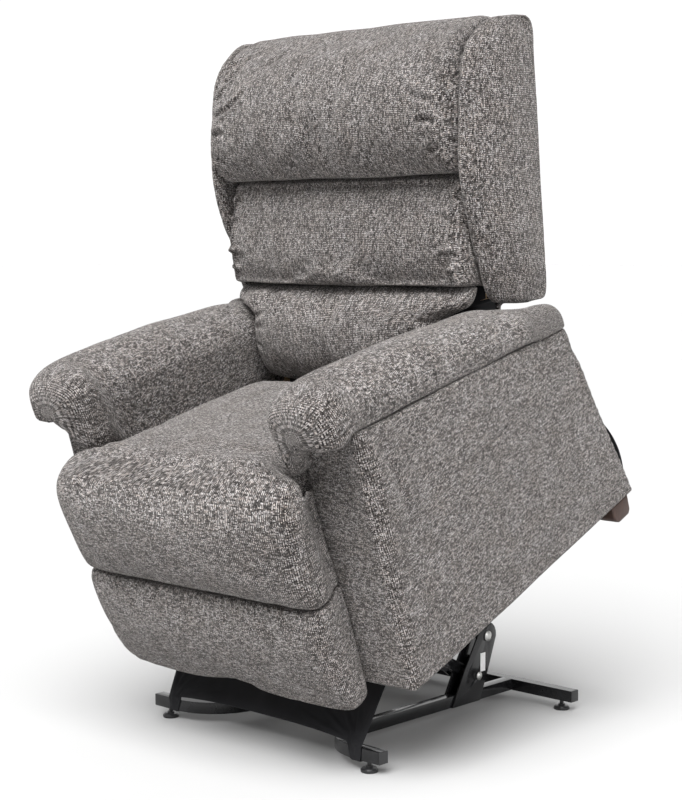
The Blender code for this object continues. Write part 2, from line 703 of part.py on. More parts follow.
def back_frame(frame, wood):
    """Board with a narrow foot between the arms, hinge ears and the lug for the back ram."""
    outline = [
        (-0.250, -0.030), (0.250, -0.030), (0.250, 0.205), (0.332, 0.225), (0.332, 0.755), (-0.332, 0.755),
        (-0.332, 0.225), (-0.250, 0.205),
    ]
    bm = bmesh.new()
    rows = []
    for forward in (-0.050, -0.030):
        rows.append([(x, *on_back(up, forward)) for x, up in outline])
    add_loft(bm, rows)
    board = finish(bm, "back_frame", frame, wood)
    pieces = []
    for side, sign in (("l", 1), ("r", -1)):
        ear = [(-0.045, 0.060), (-0.045, -0.028), (-0.012, -0.020)]
        ear += arc((0.0, 0.0), 0.018, -60, 100, 9) + [(-0.028, 0.050)]
        outline_yz = [on_back(up, forward) for forward, up in ear]
        bore = circle(RECLINE_PIVOT, 0.0064, 16)
        ear = plate("hinge_ear_" + side, frame, wood, outline_yz, [bore], sign * 0.2440, sign * 0.2490)
        pieces.append(ear)
    for k, x0 in enumerate((0.0130, -0.0170)):
        pts = capsule(on_back(-0.018, -0.048), BACK_LUG, 0.0110)
        pieces.append(plate("back_lug_%d" % k, frame, wood, pts, [], x0, x0 + 0.0040))
    pieces.append(rod("back_lug_pin", frame, wood, (-0.0150, *BACK_LUG), (0.0150, *BACK_LUG), 0.0040, 16))
    join(board, *pieces)


def hinge_pins(chair, zinc):
    for side, sign in (("left", 1), ("right", -1)):
        profile = [
            (0.0, 0.2380), (0.0105, 0.2380), (0.0105, 0.2432), (0.0060, 0.2432), (0.0060, 0.2738),
            (0.0, 0.2738),
        ]
        lathe("hinge_pin_" + side, chair, zinc, profile, (0.0, *RECLINE_PIVOT), (sign, 0, 0), 16)


def wings(frame, fabric):
    stations = [
        (0.211, -0.070, -0.140), (0.215, -0.037, -0.152), (0.223, -0.018, -0.158), (0.247, -0.002, -0.161),
        (0.300, 0.012, -0.161),
        (0.350, 0.026, -0.161), (0.400, 0.042, -0.161), (0.450, 0.053, -0.161), (0.500, 0.055, -0.161),
        (0.560, 0.050, -0.161),
        (0.623, 0.042, -0.161), (0.695, 0.024, -0.161), (0.725, 0.006, -0.161), (0.745, -0.012, -0.160),
        (0.762, -0.038, -0.154),
        (0.774, -0.066, -0.142), (0.781, -0.092, -0.124),
    ]
    for side, sign in (("left", 1), ("right", -1)):
        rings = []
        for up, front, rear in stations:
            depth = front - rear
            outline = [
                (0.3945, rear + 0.11 * depth), (0.3900, rear + 0.004), (0.3700, rear),
                (0.3400, rear + 0.004), (0.3370, rear + 0.08 * depth),
                (0.3370, front - 0.12 * depth), (0.3400, front - 0.02 * depth), (0.3470, front),
                (0.3560, front - 0.03 * depth),
                (0.3740, front - 0.18 * depth), (0.3890, front - 0.40 * depth),
                (0.3955, front - 0.66 * depth),
            ]
            rings.append([(sign * x, *on_back(up, forward)) for x, forward in outline])
        loft("wing_" + side, frame, fabric, rings)


def pillow(name, frame, mat, stations, power):
    """A back pillow: sections across X given as (x, low, high, rear, front) on the back."""
    rings = []
    for x, low, high, rear, front in stations:
        mid_up = 0.5 * (low + high)
        mid_f = 0.5 * (rear + front)
        ring = []
        for a, b in rounded(0.5 * (high - low), 0.5 * (front - rear), power, 22):
            ring.append((x, *on_back(mid_up + a, mid_f + b)))
        rings.append(ring)
    loft(name, frame, mat, rings)


def pillow_stations(half, low, high, front_mid, front_side, rear=-0.0285):
    out = []
    for share in (-1.0, -0.97, -0.90, -0.72, -0.45, 0.0, 0.45, 0.72, 0.90, 0.97, 1.0):
        away = abs(share)
        front = front_side + (front_mid - front_side) * (1.0 - away ** 2.6)
        squeeze = 0.014 * max(0.0, (away - 0.88) / 0.12) ** 1.5
        out.append((share * half, low + squeeze, high - squeeze, rear + 0.4 * squeeze, front - squeeze))
    return out


def head_pillow(frame, fabric):
    """Top pillow: rolls over the upper edge of the back board."""
    section = [
        (0.4785, -0.0285), (0.4790, 0.0000), (0.4840, 0.0300), (0.4980, 0.0520), (0.5300, 0.0710),
        (0.5780, 0.0800), (0.6300, 0.0740), (0.6850, 0.0530),
        (0.7300, 0.0240), (0.7640, -0.0120), (0.7850, -0.0480), (0.7920, -0.0850), (0.7860, -0.1200),
        (0.7720, -0.1380), (0.7605, -0.1400), (0.7605, -0.0285),
    ]
    rings = []
    for share in (-1.0, -0.975, -0.92, -0.75, -0.45, 0.0, 0.45, 0.75, 0.92, 0.975, 1.0):
        away = abs(share)
        swell = 0.020 * (1.0 - away ** 2.4)
        pinch = max(0.0, (away - 0.88) / 0.12) ** 1.6
        ring = []
        for up, forward in section:
            face = min(1.0, max(0.0, (forward + 0.0285) / 0.05))
            top = 1.0 if up > 0.7610 else 0.0
            new_forward = forward + face * (swell - 0.020 * pinch)
            new_up = up - top * 0.012 * pinch
            ring.append((share * 0.3355, *on_back(max(new_up, up if not top else 0.7612), new_forward)))
        rings.append(ring)
    loft("head_pillow", frame, fabric, rings)


def lumbar_pillow(frame, fabric):
    """Bottom pillow: narrow between the arms, spreading to the wings above them."""
    rows = [
        (0.0620, 0.020, 0.236), (0.0680, 0.052, 0.247), (0.0850, 0.076, 0.253), (0.1150, 0.094, 0.2560),
        (0.1550, 0.100, 0.2565), (0.2000, 0.092, 0.2570),
        (0.2270, 0.076, 0.2620), (0.2360, 0.066, 0.3250), (0.2480, 0.048, 0.3340), (0.2535, 0.030, 0.3280),
    ]
    rings = []
    for up, front, half in rows:
        middle = 0.5 * (front - 0.0285)
        deep = 0.5 * (front + 0.0285)
        rings.append([(a, *on_back(up, middle + b)) for a, b in rounded(half, deep, 3.6, 28)])
    loft("lumbar_pillow", frame, fabric, rings)


def pillows(frame, fabric):
    head_pillow(frame, fabric)
    pillow("mid_pillow", frame, fabric, pillow_stations(0.3355, 0.2545, 0.4770, 0.086, 0.062), 2.6)
    lumbar_pillow(frame, fabric)


def back_cover(frame, fabric):
    """Outside back: one panel that narrows below the wings to clear the arms as it reclines."""
    low, high, neck, shoulder = -0.100, 0.759, 0.196, 0.208
    narrow, wide = ARM_IN - 0.0065, 0.3350
    right = [(narrow, low), (narrow, neck), (wide, shoulder), (wide, high)]
    outline = right + [(-x, up) for x, up in reversed(right)]
    rows = []
    for forward in (-0.163, -0.143):
        rows.append([(x, *on_back(up, forward)) for x, up in outline])
    bm = bmesh.new()
    add_loft(bm, rows)
    finish(bm, "back_cover", frame, fabric)


# ---- footrest -------------------------------------------------------------------------------------------
def footrest_board(frame, wood):
    board = box("footrest_board", frame, wood, (-0.3000, -0.0420, -0.0200), (0.3000, -0.0300, 0.3860))
    pieces = []
    for side, sign in (("l", 1), ("r", -1)):
        tab = [
            (-0.0320, 0.190), (LINK_BOARD[0], LINK_BOARD[1] - 0.0120),
            (LINK_BOARD[0] + 0.0110, LINK_BOARD[1] - 0.005),
            (LINK_BOARD[0] + 0.0110, LINK_BOARD[1] + 0.006), (LINK_BOARD[0], LINK_BOARD[1] + 0.0120),
            (-0.0320, 0.232),
        ]
        pieces.append(plate("board_tab_" + side, frame, wood, tab, [], sign * 0.2490, sign * 0.2530))
        start, end = (sign * 0.2340, *LINK_BOARD), (sign * 0.2520, *LINK_BOARD)
        pieces.append(rod("board_stud_" + side, frame, wood, start, end, 0.0050, 16))
    join(board, *pieces)


def footrest_pads(frame, fabric):
    """Two padded panels, one above the other, with a seam between them."""
    upper = [
        (0.3915, -0.1040, 0.330), (0.3800, -0.1100, 0.333), (0.3300, -0.1140, 0.334),
        (0.2700, -0.1130, 0.334),
        (0.2300, -0.1090, 0.334), (0.2110, -0.0990, 0.331),
    ]
    lower = [
        (0.2104, -0.0990, 0.331), (0.1900, -0.1070, 0.334), (0.1300, -0.1070, 0.334),
        (0.0600, -0.0960, 0.333),
        (0.0050, -0.0800, 0.331), (-0.0160, -0.0690, 0.326), (-0.0280, -0.0560, 0.306),
    ]
    for name, rows in (("footrest_pad_upper", upper), ("footrest_pad_lower", lower)):
        rings = []
        for z, front, half in rows:
            middle = 0.5 * (front - 0.0425)
            rings.append([(a, middle + b, z) for a, b in rounded(half, 0.5 * (-0.0425 - front), 4.5, 28)])
        loft(name, frame, fabric, rings)


def link_joint():
    """Where the two footrest links meet, with the footrest down."""
    return (
        LINK_FRAME[0] + LINK_BOARD[0] - FOOTREST_PIVOT[0],
        LINK_FRAME[1] + LINK_BOARD[1] - FOOTREST_PIVOT[1],
    )


def swing_frame(frame, steel):
    """Cross shaft with an arm at each end that throws the footrest out."""
    meet = link_joint()
    holes = [circle(meet, 0.0060, 16)]
    body = plate("swing_frame", frame, steel, capsule(LINK_FRAME, meet, 0.0125), holes, 0.2220, 0.2270)
    other = plate("swing_arm_r", frame, steel, capsule(LINK_FRAME, meet, 0.0125), holes, -0.2270, -0.2220)
    shaft = rod("swing_shaft", frame, steel, (-0.2250, *LINK_FRAME), (0.2250, *LINK_FRAME), 0.0110, 20)
    join(body, shaft, other)


def push_links(frame, steel):
    meet = link_joint()
    for side, sign in (("left", 1), ("right", -1)):
        holes = [circle(LINK_BOARD, 0.0054, 16)]
        body = plate(
            "push_link_" + side, frame, steel, capsule(meet, LINK_BOARD, 0.0115), holes, sign * 0.2400,
            sign * 0.2440,
        )
        stud = rod(
            "push_stud_" + side, frame, steel, (sign * 0.2190, *meet), (sign * 0.2420, *meet), 0.0050, 16,
        )
        join(body, stud)


# ---- skirt ----------------------------------------------------------------------------------------------
def skirt(root, cloth):
    """Black cloth from behind the footrest down to the front feet of the base."""
    top_y, top_z, low_y, thick = -0.1400, 0.1640, -0.2000, 0.0030
    half_low, half_top = 0.2820, 0.2960
    rings = []
    for k in range(9):
        share = k / 4 - 1.0
        drop = 0.050 + 0.014 * (1.0 - abs(share) ** 3)
        low_x, top_x = share * half_low, share * half_top
        rear = [(top_x, top_y, top_z), (low_x, low_y, drop)]
        rings.append(rear + [(x, y - thick, z) for x, y, z in reversed(rear)])
    loft("skirt", root, cloth, rings)


# ---- build ----------------------------------------------------------------------------------------------
def main():
    clear_scene()
    black = material("black_gloss_paint", (0.012, 0.012, 0.014), 0.0, 0.25)
    zinc = material("zinc_plate", (0.62, 0.62, 0.60), 1.0, 0.35)
    plastic = material("black_plastic", (0.020, 0.020, 0.021), 0.0, 0.45)
    rubber = material("foot_plastic", (0.015, 0.015, 0.016), 0.0, 0.6)
    paper = material("label_film", (0.85, 0.85, 0.83), 0.0, 0.5)
    fabric = material("tweed_upholstery", (0.16, 0.14, 0.125), 0.0, 0.95)
    cloth = material("black_cloth", (0.012, 0.012, 0.013), 0.0, 0.95)
    wood = material("plywood", (0.55, 0.40, 0.24), 0.0, 0.7)
    stained = material("stained_wood", (0.045, 0.024, 0.015), 0.0, 0.45)
    steel = material("spring_steel", (0.30, 0.30, 0.31), 1.0, 0.4)
    case = material("motor_case", (0.030, 0.030, 0.032), 0.0, 0.5)
    alloy = material("ram_alloy", (0.55, 0.56, 0.58), 1.0, 0.35)
    chrome = material("rod_chrome", (0.75, 0.75, 0.76), 1.0, 0.12)

    root = Frame("base_axis", (0.0, 0.0))
    lift_axis = Frame("lift_axis", LIFT_PIVOT)
    lower_axis = Frame("lower_link_axis", LOWER_PIVOT)
    motor_axis = Frame("lift_motor_axis", MOTOR_PIVOT)
    chair_at = along(LIFT_PIVOT, LIFT_ANGLE, LIFT_ARM)
    chair = Frame("chair_axis", CHAIR_PIVOT, chair_at, SEAT_TILT)
    back = Frame("recline_axis", RECLINE_PIVOT, parent=chair)
    back_motor = Frame("back_motor_axis", BACK_MOTOR, parent=chair)
    footrest = Frame("footrest_axis", FOOTREST_PIVOT, parent=chair)
    swing = Frame("swing_axis", LINK_FRAME, parent=chair)
    push = Frame("push_link_axis", LINK_BOARD, parent=footrest)

    base_rails(root, black)
    base_rear_tube(root, black)
    end_caps(root, plastic)
    levelling_feet(root, rubber)
    towers(root, black)
    rating_label(root, paper)
    tower_bolts(root, zinc)
    motor_clevis(root, black)
    lift_frame(lift_axis, black)
    lower_links(lower_axis, black)
    lift_actuator(motor_axis, motor_axis, case, alloy, chrome)
    arm_boxes(chair, fabric)
    arm_pads(chair, fabric)
    seat_cushion(chair, fabric)
    seat_frame(chair, wood)
    seat_springs(chair, steel)
    mech_frame(chair, black)
    wooden_feet(chair, stained)
    rear_panel(chair, fabric)
    dust_cover(chair, cloth)
    control_box(chair, plastic)
    back_frame(back, wood)
    hinge_pins(chair, zinc)
    wings(back, fabric)
    pillows(back, fabric)
    back_cover(back, fabric)
    back_actuator(back_motor, back_motor, case, alloy, chrome)
    footrest_board(footrest, wood)
    footrest_pads(footrest, fabric)
    swing_frame(swing, black)
    push_links(push, black)
    skirt(root, cloth)


main()
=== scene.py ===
"""How the lift recliner looks: its upholstery, cloth, finishes, studio and camera.

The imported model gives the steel, the motors and every joint.  The upholstery is drawn here.
Pieces on the seat are drawn in the seat frame, in metres: Y runs back from the lower front corner
of the side panels, Z up from their lower edge.  Pieces on the back are drawn in the back frame:
X across, -Y toward the sitter, Z up from the recline hinge.  +X is the sitter's left.
"""

import json
from math import radians, pi, sin, cos

import bpy
import bmesh
import numpy as np
from mathutils import Matrix, Vector, noise

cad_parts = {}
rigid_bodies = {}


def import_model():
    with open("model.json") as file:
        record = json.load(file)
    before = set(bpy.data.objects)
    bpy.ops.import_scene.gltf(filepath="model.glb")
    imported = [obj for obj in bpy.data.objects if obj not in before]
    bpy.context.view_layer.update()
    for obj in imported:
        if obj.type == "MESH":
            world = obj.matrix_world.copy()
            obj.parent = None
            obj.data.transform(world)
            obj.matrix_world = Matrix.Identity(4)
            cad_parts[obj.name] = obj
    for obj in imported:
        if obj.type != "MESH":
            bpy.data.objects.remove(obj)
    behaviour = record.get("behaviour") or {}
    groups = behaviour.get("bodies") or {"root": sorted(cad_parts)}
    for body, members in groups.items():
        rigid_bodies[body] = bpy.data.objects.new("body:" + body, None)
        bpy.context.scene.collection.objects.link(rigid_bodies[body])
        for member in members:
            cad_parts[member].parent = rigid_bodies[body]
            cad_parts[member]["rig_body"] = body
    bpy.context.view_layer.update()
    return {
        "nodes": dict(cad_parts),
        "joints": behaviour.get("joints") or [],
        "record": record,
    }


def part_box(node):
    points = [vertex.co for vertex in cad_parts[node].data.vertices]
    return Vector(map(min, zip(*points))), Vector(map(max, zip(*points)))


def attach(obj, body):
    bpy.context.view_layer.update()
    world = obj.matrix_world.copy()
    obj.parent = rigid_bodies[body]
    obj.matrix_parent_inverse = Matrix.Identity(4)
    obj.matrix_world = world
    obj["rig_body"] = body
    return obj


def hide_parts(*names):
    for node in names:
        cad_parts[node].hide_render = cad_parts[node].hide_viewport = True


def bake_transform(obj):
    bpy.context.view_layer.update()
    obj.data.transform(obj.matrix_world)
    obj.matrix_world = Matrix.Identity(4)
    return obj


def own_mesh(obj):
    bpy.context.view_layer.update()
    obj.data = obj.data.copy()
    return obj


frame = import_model()

# ---- driving dimensions ----
SEAT_TILT = radians(23.5)
SEAT_PIVOT = (0.2216, 0.0439)
RECLINE_PIVOT = (0.500, 0.330)
BACK_LEAN = radians(17.5)
ARM_OUT = 0.435
LIP_BACK = -0.0065
ARM_SLANT = 0.1006
PILLOW_HALF = 0.3355
BOARD_FACE = -0.0285
WING_INSIDE = 0.3385
BLACK = (0.0110, 0.0110, 0.0122)
THREAD = 0.0018
SEWN_EDGE = 0.026
FOLD_START = 0.326
STUFFING_STEPS = 20
PANEL_VOXEL = 0.005
SHARP_ANGLE = radians(35)
LENS, SENSOR = 78.106, 36.0
EYE = (2.5065, -2.6426, 1.0166)
EYE_PITCH = radians(90.0 - 5.03)
VIEW_TURN = radians(43.10)
TAU = 2 * pi


def joint_place(name):
    for joint in frame["joints"]:
        if joint["name"] == name:
            return Vector(joint["pos_m"])


def seat_frame():
    place = Matrix.Translation(joint_place("seat_tilt"))
    pivot = Matrix.Translation((0.0, -SEAT_PIVOT[0], -SEAT_PIVOT[1]))
    return place @ Matrix.Rotation(SEAT_TILT, 4, "X") @ pivot


SEAT = seat_frame()
BACK = SEAT @ Matrix.Translation((0.0, *RECLINE_PIVOT)) @ Matrix.Rotation(-BACK_LEAN, 4, "X")
WORLD = Matrix.Identity(4)


# ---- curves and meshes ----
def spline(points, count, closed=False):
    """Evenly spaced points on a smooth curve through the given ones, ends included if it is open."""
    pts = np.array(points, float)
    last = len(pts) if closed else len(pts) - 1
    dense = []
    for k in range(last):
        if closed:
            p = [pts[(k + j - 1) % len(pts)] for j in range(4)]
        else:
            p = [pts[min(max(k + j - 1, 0), len(pts) - 1)] for j in range(4)]
        for t in np.linspace(0.0, 1.0, 24, endpoint=False):
            a = 2 * p[1]
            b = (p[2] - p[0]) * t
            c = (2 * p[0] - 5 * p[1] + 4 * p[2] - p[3]) * t * t
            d = (3 * p[1] - p[0] - 3 * p[2] + p[3]) * t ** 3
            dense.append(0.5 * (a + b + c + d))
    dense.append(pts[0] if closed else pts[-1])
    return even(np.array(dense), count, closed)


def even(line, count, closed=False):
    """Resamples a polyline at equal steps of length."""
    steps = np.linalg.norm(np.diff(line, axis=0), axis=1)
    run = np.concatenate([[0.0], np.cumsum(steps)])
    marks = np.linspace(0.0, run[-1], count + 1 if closed else count)
    if closed:
        marks = marks[:-1]
    return np.stack([np.interp(marks, run, line[:, k]) for k in range(line.shape[1])], axis=1)


def smooth(low, high, value):
    t = np.clip((np.asarray(value, float) - low) / (high - low), 0.0, 1.0)
    return t * t * (3 - 2 * t)


def coords(ob, what="co"):
    flat = np.empty(len(ob.data.vertices) * 3)
    ob.data.vertices.foreach_get(what, flat)
    return flat.reshape(-1, 3)


def set_coords(ob, points):
    ob.data.vertices.foreach_set("co", np.asarray(points, float).ravel())
    ob.data.update()


def new_object(name, mesh):
    ob = bpy.data.objects.new(name, mesh)
    bpy.context.collection.objects.link(ob)
    return ob


def shade_smooth(ob):
    ob.data.polygons.foreach_set("use_smooth", [True] * len(ob.data.polygons))


def shade_by_angle(ob):
    shade_smooth(ob)
    ob.data.set_sharp_from_angle(angle=SHARP_ANGLE)


def skin(name, rings, turned=False):
    """A closed padded form from equal rings; the weave's UVs are lengths along it and around it.

    turned lays the weave a quarter turn round."""
    rings = np.array(rings, float)
    count = rings.shape[1]
    middles = rings.mean(axis=1)
    along = np.concatenate([[0.0], np.cumsum(np.linalg.norm(np.diff(middles, axis=0), axis=1))])
    around = np.linalg.norm(np.roll(rings, -1, axis=1) - rings, axis=2)
    around = np.concatenate([np.zeros((len(rings), 1)), np.cumsum(around, axis=1)], axis=1)
    mean_around = around.mean(axis=0)
    bm = bmesh.new()
    layer = bm.loops.layers.uv.new("weave")
    rows = [[bm.verts.new(p) for p in ring] for ring in rings]

    def face(corners, marks):
        made = bm.faces.new(corners)
        for loop, mark in zip(made.loops, marks):
            loop[layer].uv = (mark[1], -mark[0]) if turned else mark

    for i in range(len(rows) - 1):
        for k in range(count):
            n = (k + 1) % count
            u0, u1 = mean_around[k], mean_around[k + 1]
            marks = ((along[i], u0), (along[i], u1), (along[i + 1], u1), (along[i + 1], u0))
            face((rows[i][k], rows[i][n], rows[i + 1][n], rows[i + 1][k]), marks)
    for end, sign in ((0, -1), (-1, 1)):
        close_end(bm, rows[end], rings[end], along[end], mean_around, sign, face)
    bmesh.ops.recalc_face_normals(bm, faces=bm.faces)
    mesh = bpy.data.meshes.new(name)
    bm.to_mesh(mesh)
    bm.free()
    ob = new_object(name, mesh)
    shade_smooth(ob)
    return ob


def close_end(bm, row, ring, start, around, sign, face):
    """Rings that shrink to the middle of an open end."""
    count = len(row)
    middle = ring.mean(axis=0)
    reach = np.linalg.norm(ring - middle, axis=1).mean()
    before, at = row, start
    for share in (0.72, 0.42, 0.16):
        inner = [bm.verts.new(middle + (p - middle) * share) for p in ring]
        to = start + sign * reach * (1 - share)
        for k in range(count):
            n = (k + 1) % count
            marks = ((at, around[k]), (at, around[k + 1]), (to, around[k + 1]), (to, around[k]))
            face((before[k], before[n], inner[n], inner[k]), marks)
        before, at = inner, to
    tip = bm.verts.new(middle)
    for k in range(count):
        n = (k + 1) % count
        to = start + sign * reach
        face((before[k], before[n], tip), ((at, around[k]), (at, around[k + 1]), (to, around[k])))


def superellipse(half_a, half_b, power, count=400):
    angle = np.arange(count) * TAU / count
    c, s = np.cos(angle), np.sin(angle)
    scale = (np.abs(c) ** power + np.abs(s) ** power) ** (-1.0 / power)
    return np.stack([half_a * c * scale, half_b * s * scale], axis=1)


def bake_modifiers(ob):
    """Keeps what the modifiers make of a piece as its own mesh."""
    graph = bpy.context.evaluated_depsgraph_get()
    graph.update()
    shaped = ob.evaluated_get(graph)
    mesh = bpy.data.meshes.new_from_object(shaped, preserve_all_data_layers=True, depsgraph=graph)
    ob.modifiers.clear()
    ob.data = mesh
    shade_smooth(ob)


def subdivide(ob):
    mod = ob.modifiers.new("subdivide", "SUBSURF")
    mod.levels = 1
    mod.render_levels = 1
    bake_modifiers(ob)


def plump(ob, sewn, pressure, slack, cap):
    """Stuffs a closed skin: cloth pressure swells it by up to cap, and the sewn points stay in place."""
    rest = coords(ob)
    group = ob.vertex_groups.new(name="sewn")
    group.add([int(k) for k in np.flatnonzero(sewn)], 1.0, "REPLACE")
    mod = ob.modifiers.new("stuffing", "CLOTH")
    cloth = mod.settings
    cloth.quality = 5
    cloth.mass = 0.3
    cloth.tension_stiffness = 15.0
    cloth.compression_stiffness = 15.0
    cloth.shear_stiffness = 6.0
    cloth.bending_stiffness = 0.6
    cloth.air_damping = 4.0
    cloth.use_pressure = True
    cloth.uniform_pressure_force = pressure
    cloth.shrink_min = -slack
    cloth.effector_weights.gravity = 0.0
    cloth.vertex_group_mass = "sewn"
    mod.point_cache.frame_start = 1
    mod.point_cache.frame_end = STUFFING_STEPS
    for step in range(1, STUFFING_STEPS + 1):
        bpy.context.scene.frame_set(step)
    graph = bpy.context.evaluated_depsgraph_get()
    move = coords(ob.evaluated_get(graph)) - rest
    ob.modifiers.clear()
    ob.vertex_groups.clear()
    bpy.context.scene.frame_set(1)
    reach = np.linalg.norm(move, axis=1, keepdims=True)
    move *= cap * np.tanh(reach / cap) / np.maximum(reach, 1e-9)
    set_coords(ob, rest + move)


def line_distance(points, line):
    """Distance of each point to a polyline, and how far along it (0 to 1) the nearest place is."""
    best = np.full(len(points), 1e9)
    share = np.zeros(len(points))
    steps = np.linalg.norm(np.diff(line, axis=0), axis=1)
    run = np.concatenate([[0.0], np.cumsum(steps)]) / steps.sum()
    for k in range(len(line) - 1):
        a, d = line[k], line[k + 1] - line[k]
        t = np.clip(((points - a) @ d) / (d @ d), 0.0, 1.0)
        away = np.linalg.norm(points - (a + t[:, None] * d), axis=1)
        near = away < best
        best[near] = away[near]
        share[near] = (run[k] + t * (run[k + 1] - run[k]))[near]
    return best, share


def press(ob, lines, depth, width, fade, lip=0.35):
    """Sinks sewn lines and folds into a padded form, with a soft lip on both sides.

    fade gives the shares of a line over which it runs in and runs out."""
    points = coords(ob)
    out = coords(ob, "normal")
    total = np.zeros(len(points))
    for line in lines:
        line = np.array(line, float)
        if len(line) > 2:
            line = spline(line, 14)
        low, high = line.min(axis=0) - 4 * width, line.max(axis=0) + 4 * width
        close = np.flatnonzero(((points > low) & (points < high)).all(axis=1))
        if not len(close):
            continue
        away, share = line_distance(points[close], line)
        ends = smooth(0.0, fade[0], share) * (1.0 - smooth(1.0 - fade[1], 1.0, share))
        dent = -np.exp(-(away / width) ** 2) + lip * np.exp(-((away - 2.0 * width) / width) ** 2)
        total[close] += depth * ends * dent
    total = np.clip(total, -1.15 * depth, 0.6 * depth)
    set_coords(ob, points + out * total[:, None])


def ripple(ob, height, size, seed):
    """Broad soft unevenness of stuffed cloth."""
    points = coords(ob)
    out = coords(ob, "normal")
    shift = Vector((seed * 3.7, seed * 1.9, seed * 5.3))
    swell = [noise.noise(Vector(p) / size + shift) for p in points]
    set_coords(ob, points + out * (height * np.array(swell))[:, None])
    return ob


def settle(ob, matrix, body, mat):
    """Puts a finished piece in the world, gives it its material and its body."""
    ob.data.transform(matrix)
    ob.data.materials.clear()
    ob.data.materials.append(mat)
    if body:
        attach(ob, body)


# ---- materials ----
class Nodes:
    """A small helper that adds and links shader nodes."""

    def __init__(self, name):
        self.mat = bpy.data.materials.new(name)
        self.mat.use_nodes = True
        self.tree = self.mat.node_tree
        self.shader = self.tree.nodes["Principled BSDF"]

    def add(self, kind, settings=None, **inputs):
        node = self.tree.nodes.new("ShaderNode" + kind)
        for key, value in (settings or {}).items():
            setattr(node, key, value)
        for key, value in inputs.items():
            by_number = key[0] == "i" and key[1:].isdigit()
            self.feed(node.inputs[int(key[1:]) if by_number else key], value)
        return node

    def feed(self, socket, value):
        if isinstance(value, bpy.types.NodeSocket):
            self.tree.links.new(value, socket)
        elif isinstance(value, bpy.types.Node):
            self.tree.links.new(value.outputs[0], socket)
        else:
            socket.default_value = value

    def math(self, operation, a, b=0.0):
        return self.add("Math", {"operation": operation}, i0=a, i1=b).outputs[0]

    def ramp(self, value, stops):
        node = self.add("ValToRGB", None, i0=value)
        band = node.color_ramp
        while len(band.elements) < len(stops):
            band.elements.new(0.5)
        for element, (place, colour) in zip(band.elements, stops):
            element.position = place
            element.color = (*colour, 1.0) if isinstance(colour, tuple) else (colour, colour, colour, 1.0)
        return node.outputs[0]

    def noise(self, vector, scale, detail=2.0, rough=0.5):
        node = self.add("TexNoise", None, Vector=vector, Scale=scale, Detail=detail, Roughness=rough)
        return node.outputs[0]

    def mix(self, share, a, b, blend="MIX"):
        node = self.add("Mix", {"data_type": "RGBA", "blend_type": blend})
        self.feed(node.inputs[0], share)
        self.feed(node.inputs[6], a)
        self.feed(node.inputs[7], b)
        return node.outputs[2]

    def bump(self, height, distance, strength):
        return self.add("Bump", None, Height=height, Distance=distance, Strength=strength).outputs[0]

    def set(self, **values):
        for key, value in values.items():
            self.feed(self.shader.inputs[key.replace("_", " ")], value)


def thread_tone(n, across, along_thread, seed, length, step):
    """Tone of one yarn: it keeps its shade for a while, and every second yarn is darker."""
    lane = n.math("FLOOR", across)
    lane_place = n.math("MULTIPLY", lane, 1.9)
    place = n.add("CombineXYZ", None, X=lane_place, Y=n.math("MULTIPLY", along_thread, 1.0 / length), Z=seed)
    slub = n.noise(place, 1.0, 1.0, 0.5)
    odd = n.math("FLOORED_MODULO", lane, 2.0)
    return n.math("ADD", slub, n.math("MULTIPLY", n.math("SUBTRACT", odd, 0.5), step))


def tweed():
    """Heathered grey-brown plain weave of dark and pale slubbed yarns, with broad random patches whose brown
    cast is painted-in warm bounced light.
    """
    n = Nodes("tweed")
    uv = n.add("UVMap", {"uv_map": "weave"})
    wander = n.noise(uv, 14.0, 1.0)
    flat = n.add("SeparateXYZ", None, Vector=uv)
    drift = n.math("MULTIPLY", n.math("SUBTRACT", wander, 0.5), 2.2)
    u = n.math("ADD", n.math("MULTIPLY", flat.outputs[0], 1 / THREAD), drift)
    v = n.math("ADD", n.math("MULTIPLY", flat.outputs[1], 1 / THREAD), drift)
    cell = n.math("FLOORED_MODULO", n.math("ADD", n.math("FLOOR", u), n.math("FLOOR", v)), 2.0)
    warp = thread_tone(n, u, v, 3.1, 3.4, 0.08)
    weft = thread_tone(n, v, u, 17.7, 5.0, 0.11)
    warp_on_top = n.math("MULTIPLY", cell, warp)
    weft_on_top = n.math("MULTIPLY", n.math("SUBTRACT", 1.0, cell), weft)
    tone = n.math("ADD", warp_on_top, weft_on_top)
    yarn = n.ramp(tone, (
        (0.31, (0.006, 0.005, 0.005)), (0.41, (0.021, 0.019, 0.018)), (0.50, (0.080, 0.074, 0.072)),
        (0.58, (0.212, 0.200, 0.196)), (0.68, (0.500, 0.481, 0.474)),
    ))
    warm = n.noise(uv, 260.0, 2.0)
    brown = n.ramp(warm, ((0.50, 0.0), (0.62, 0.6)))
    yarn = n.mix(brown, yarn, (1.06, 0.93, 0.83, 1.0), "MULTIPLY")
    # broad random mottling of the cloth; the brown cast of its darker patches is painted light, warm light
    # bounced from the pillows
    patches = n.noise(uv, 22.0, 3.0)
    mottle_and_bounce_tint = n.ramp(patches, ((0.32, (0.90, 0.87, 0.85)), (0.68, (1.10, 1.10, 1.11))))
    n.set(Base_Color=n.mix(1.0, yarn, mottle_and_bounce_tint, "MULTIPLY"))
    across_u = n.math("ABSOLUTE", n.math("SINE", n.math("MULTIPLY", u, pi)))
    across_v = n.math("ABSOLUTE", n.math("SINE", n.math("MULTIPLY", v, pi)))
    both = n.math("MULTIPLY", across_u, across_v)
    fuzz = n.noise(uv, 1500.0, 2.0)
    height = n.math("ADD", both, n.math("ADD", n.math("MULTIPLY", tone, 1.2), n.math("MULTIPLY", fuzz, 0.5)))
    matt = n.ramp(tone, ((0.3, 0.95), (0.7, 0.82)))
    n.set(Normal=n.bump(height, 0.0010, 0.75), Roughness=matt)
    n.set(Sheen_Weight=0.25, Sheen_Roughness=0.45, Sheen_Tint=(0.9, 0.87, 0.84, 1.0), Specular_IOR_Level=0.15)
    return n.mat


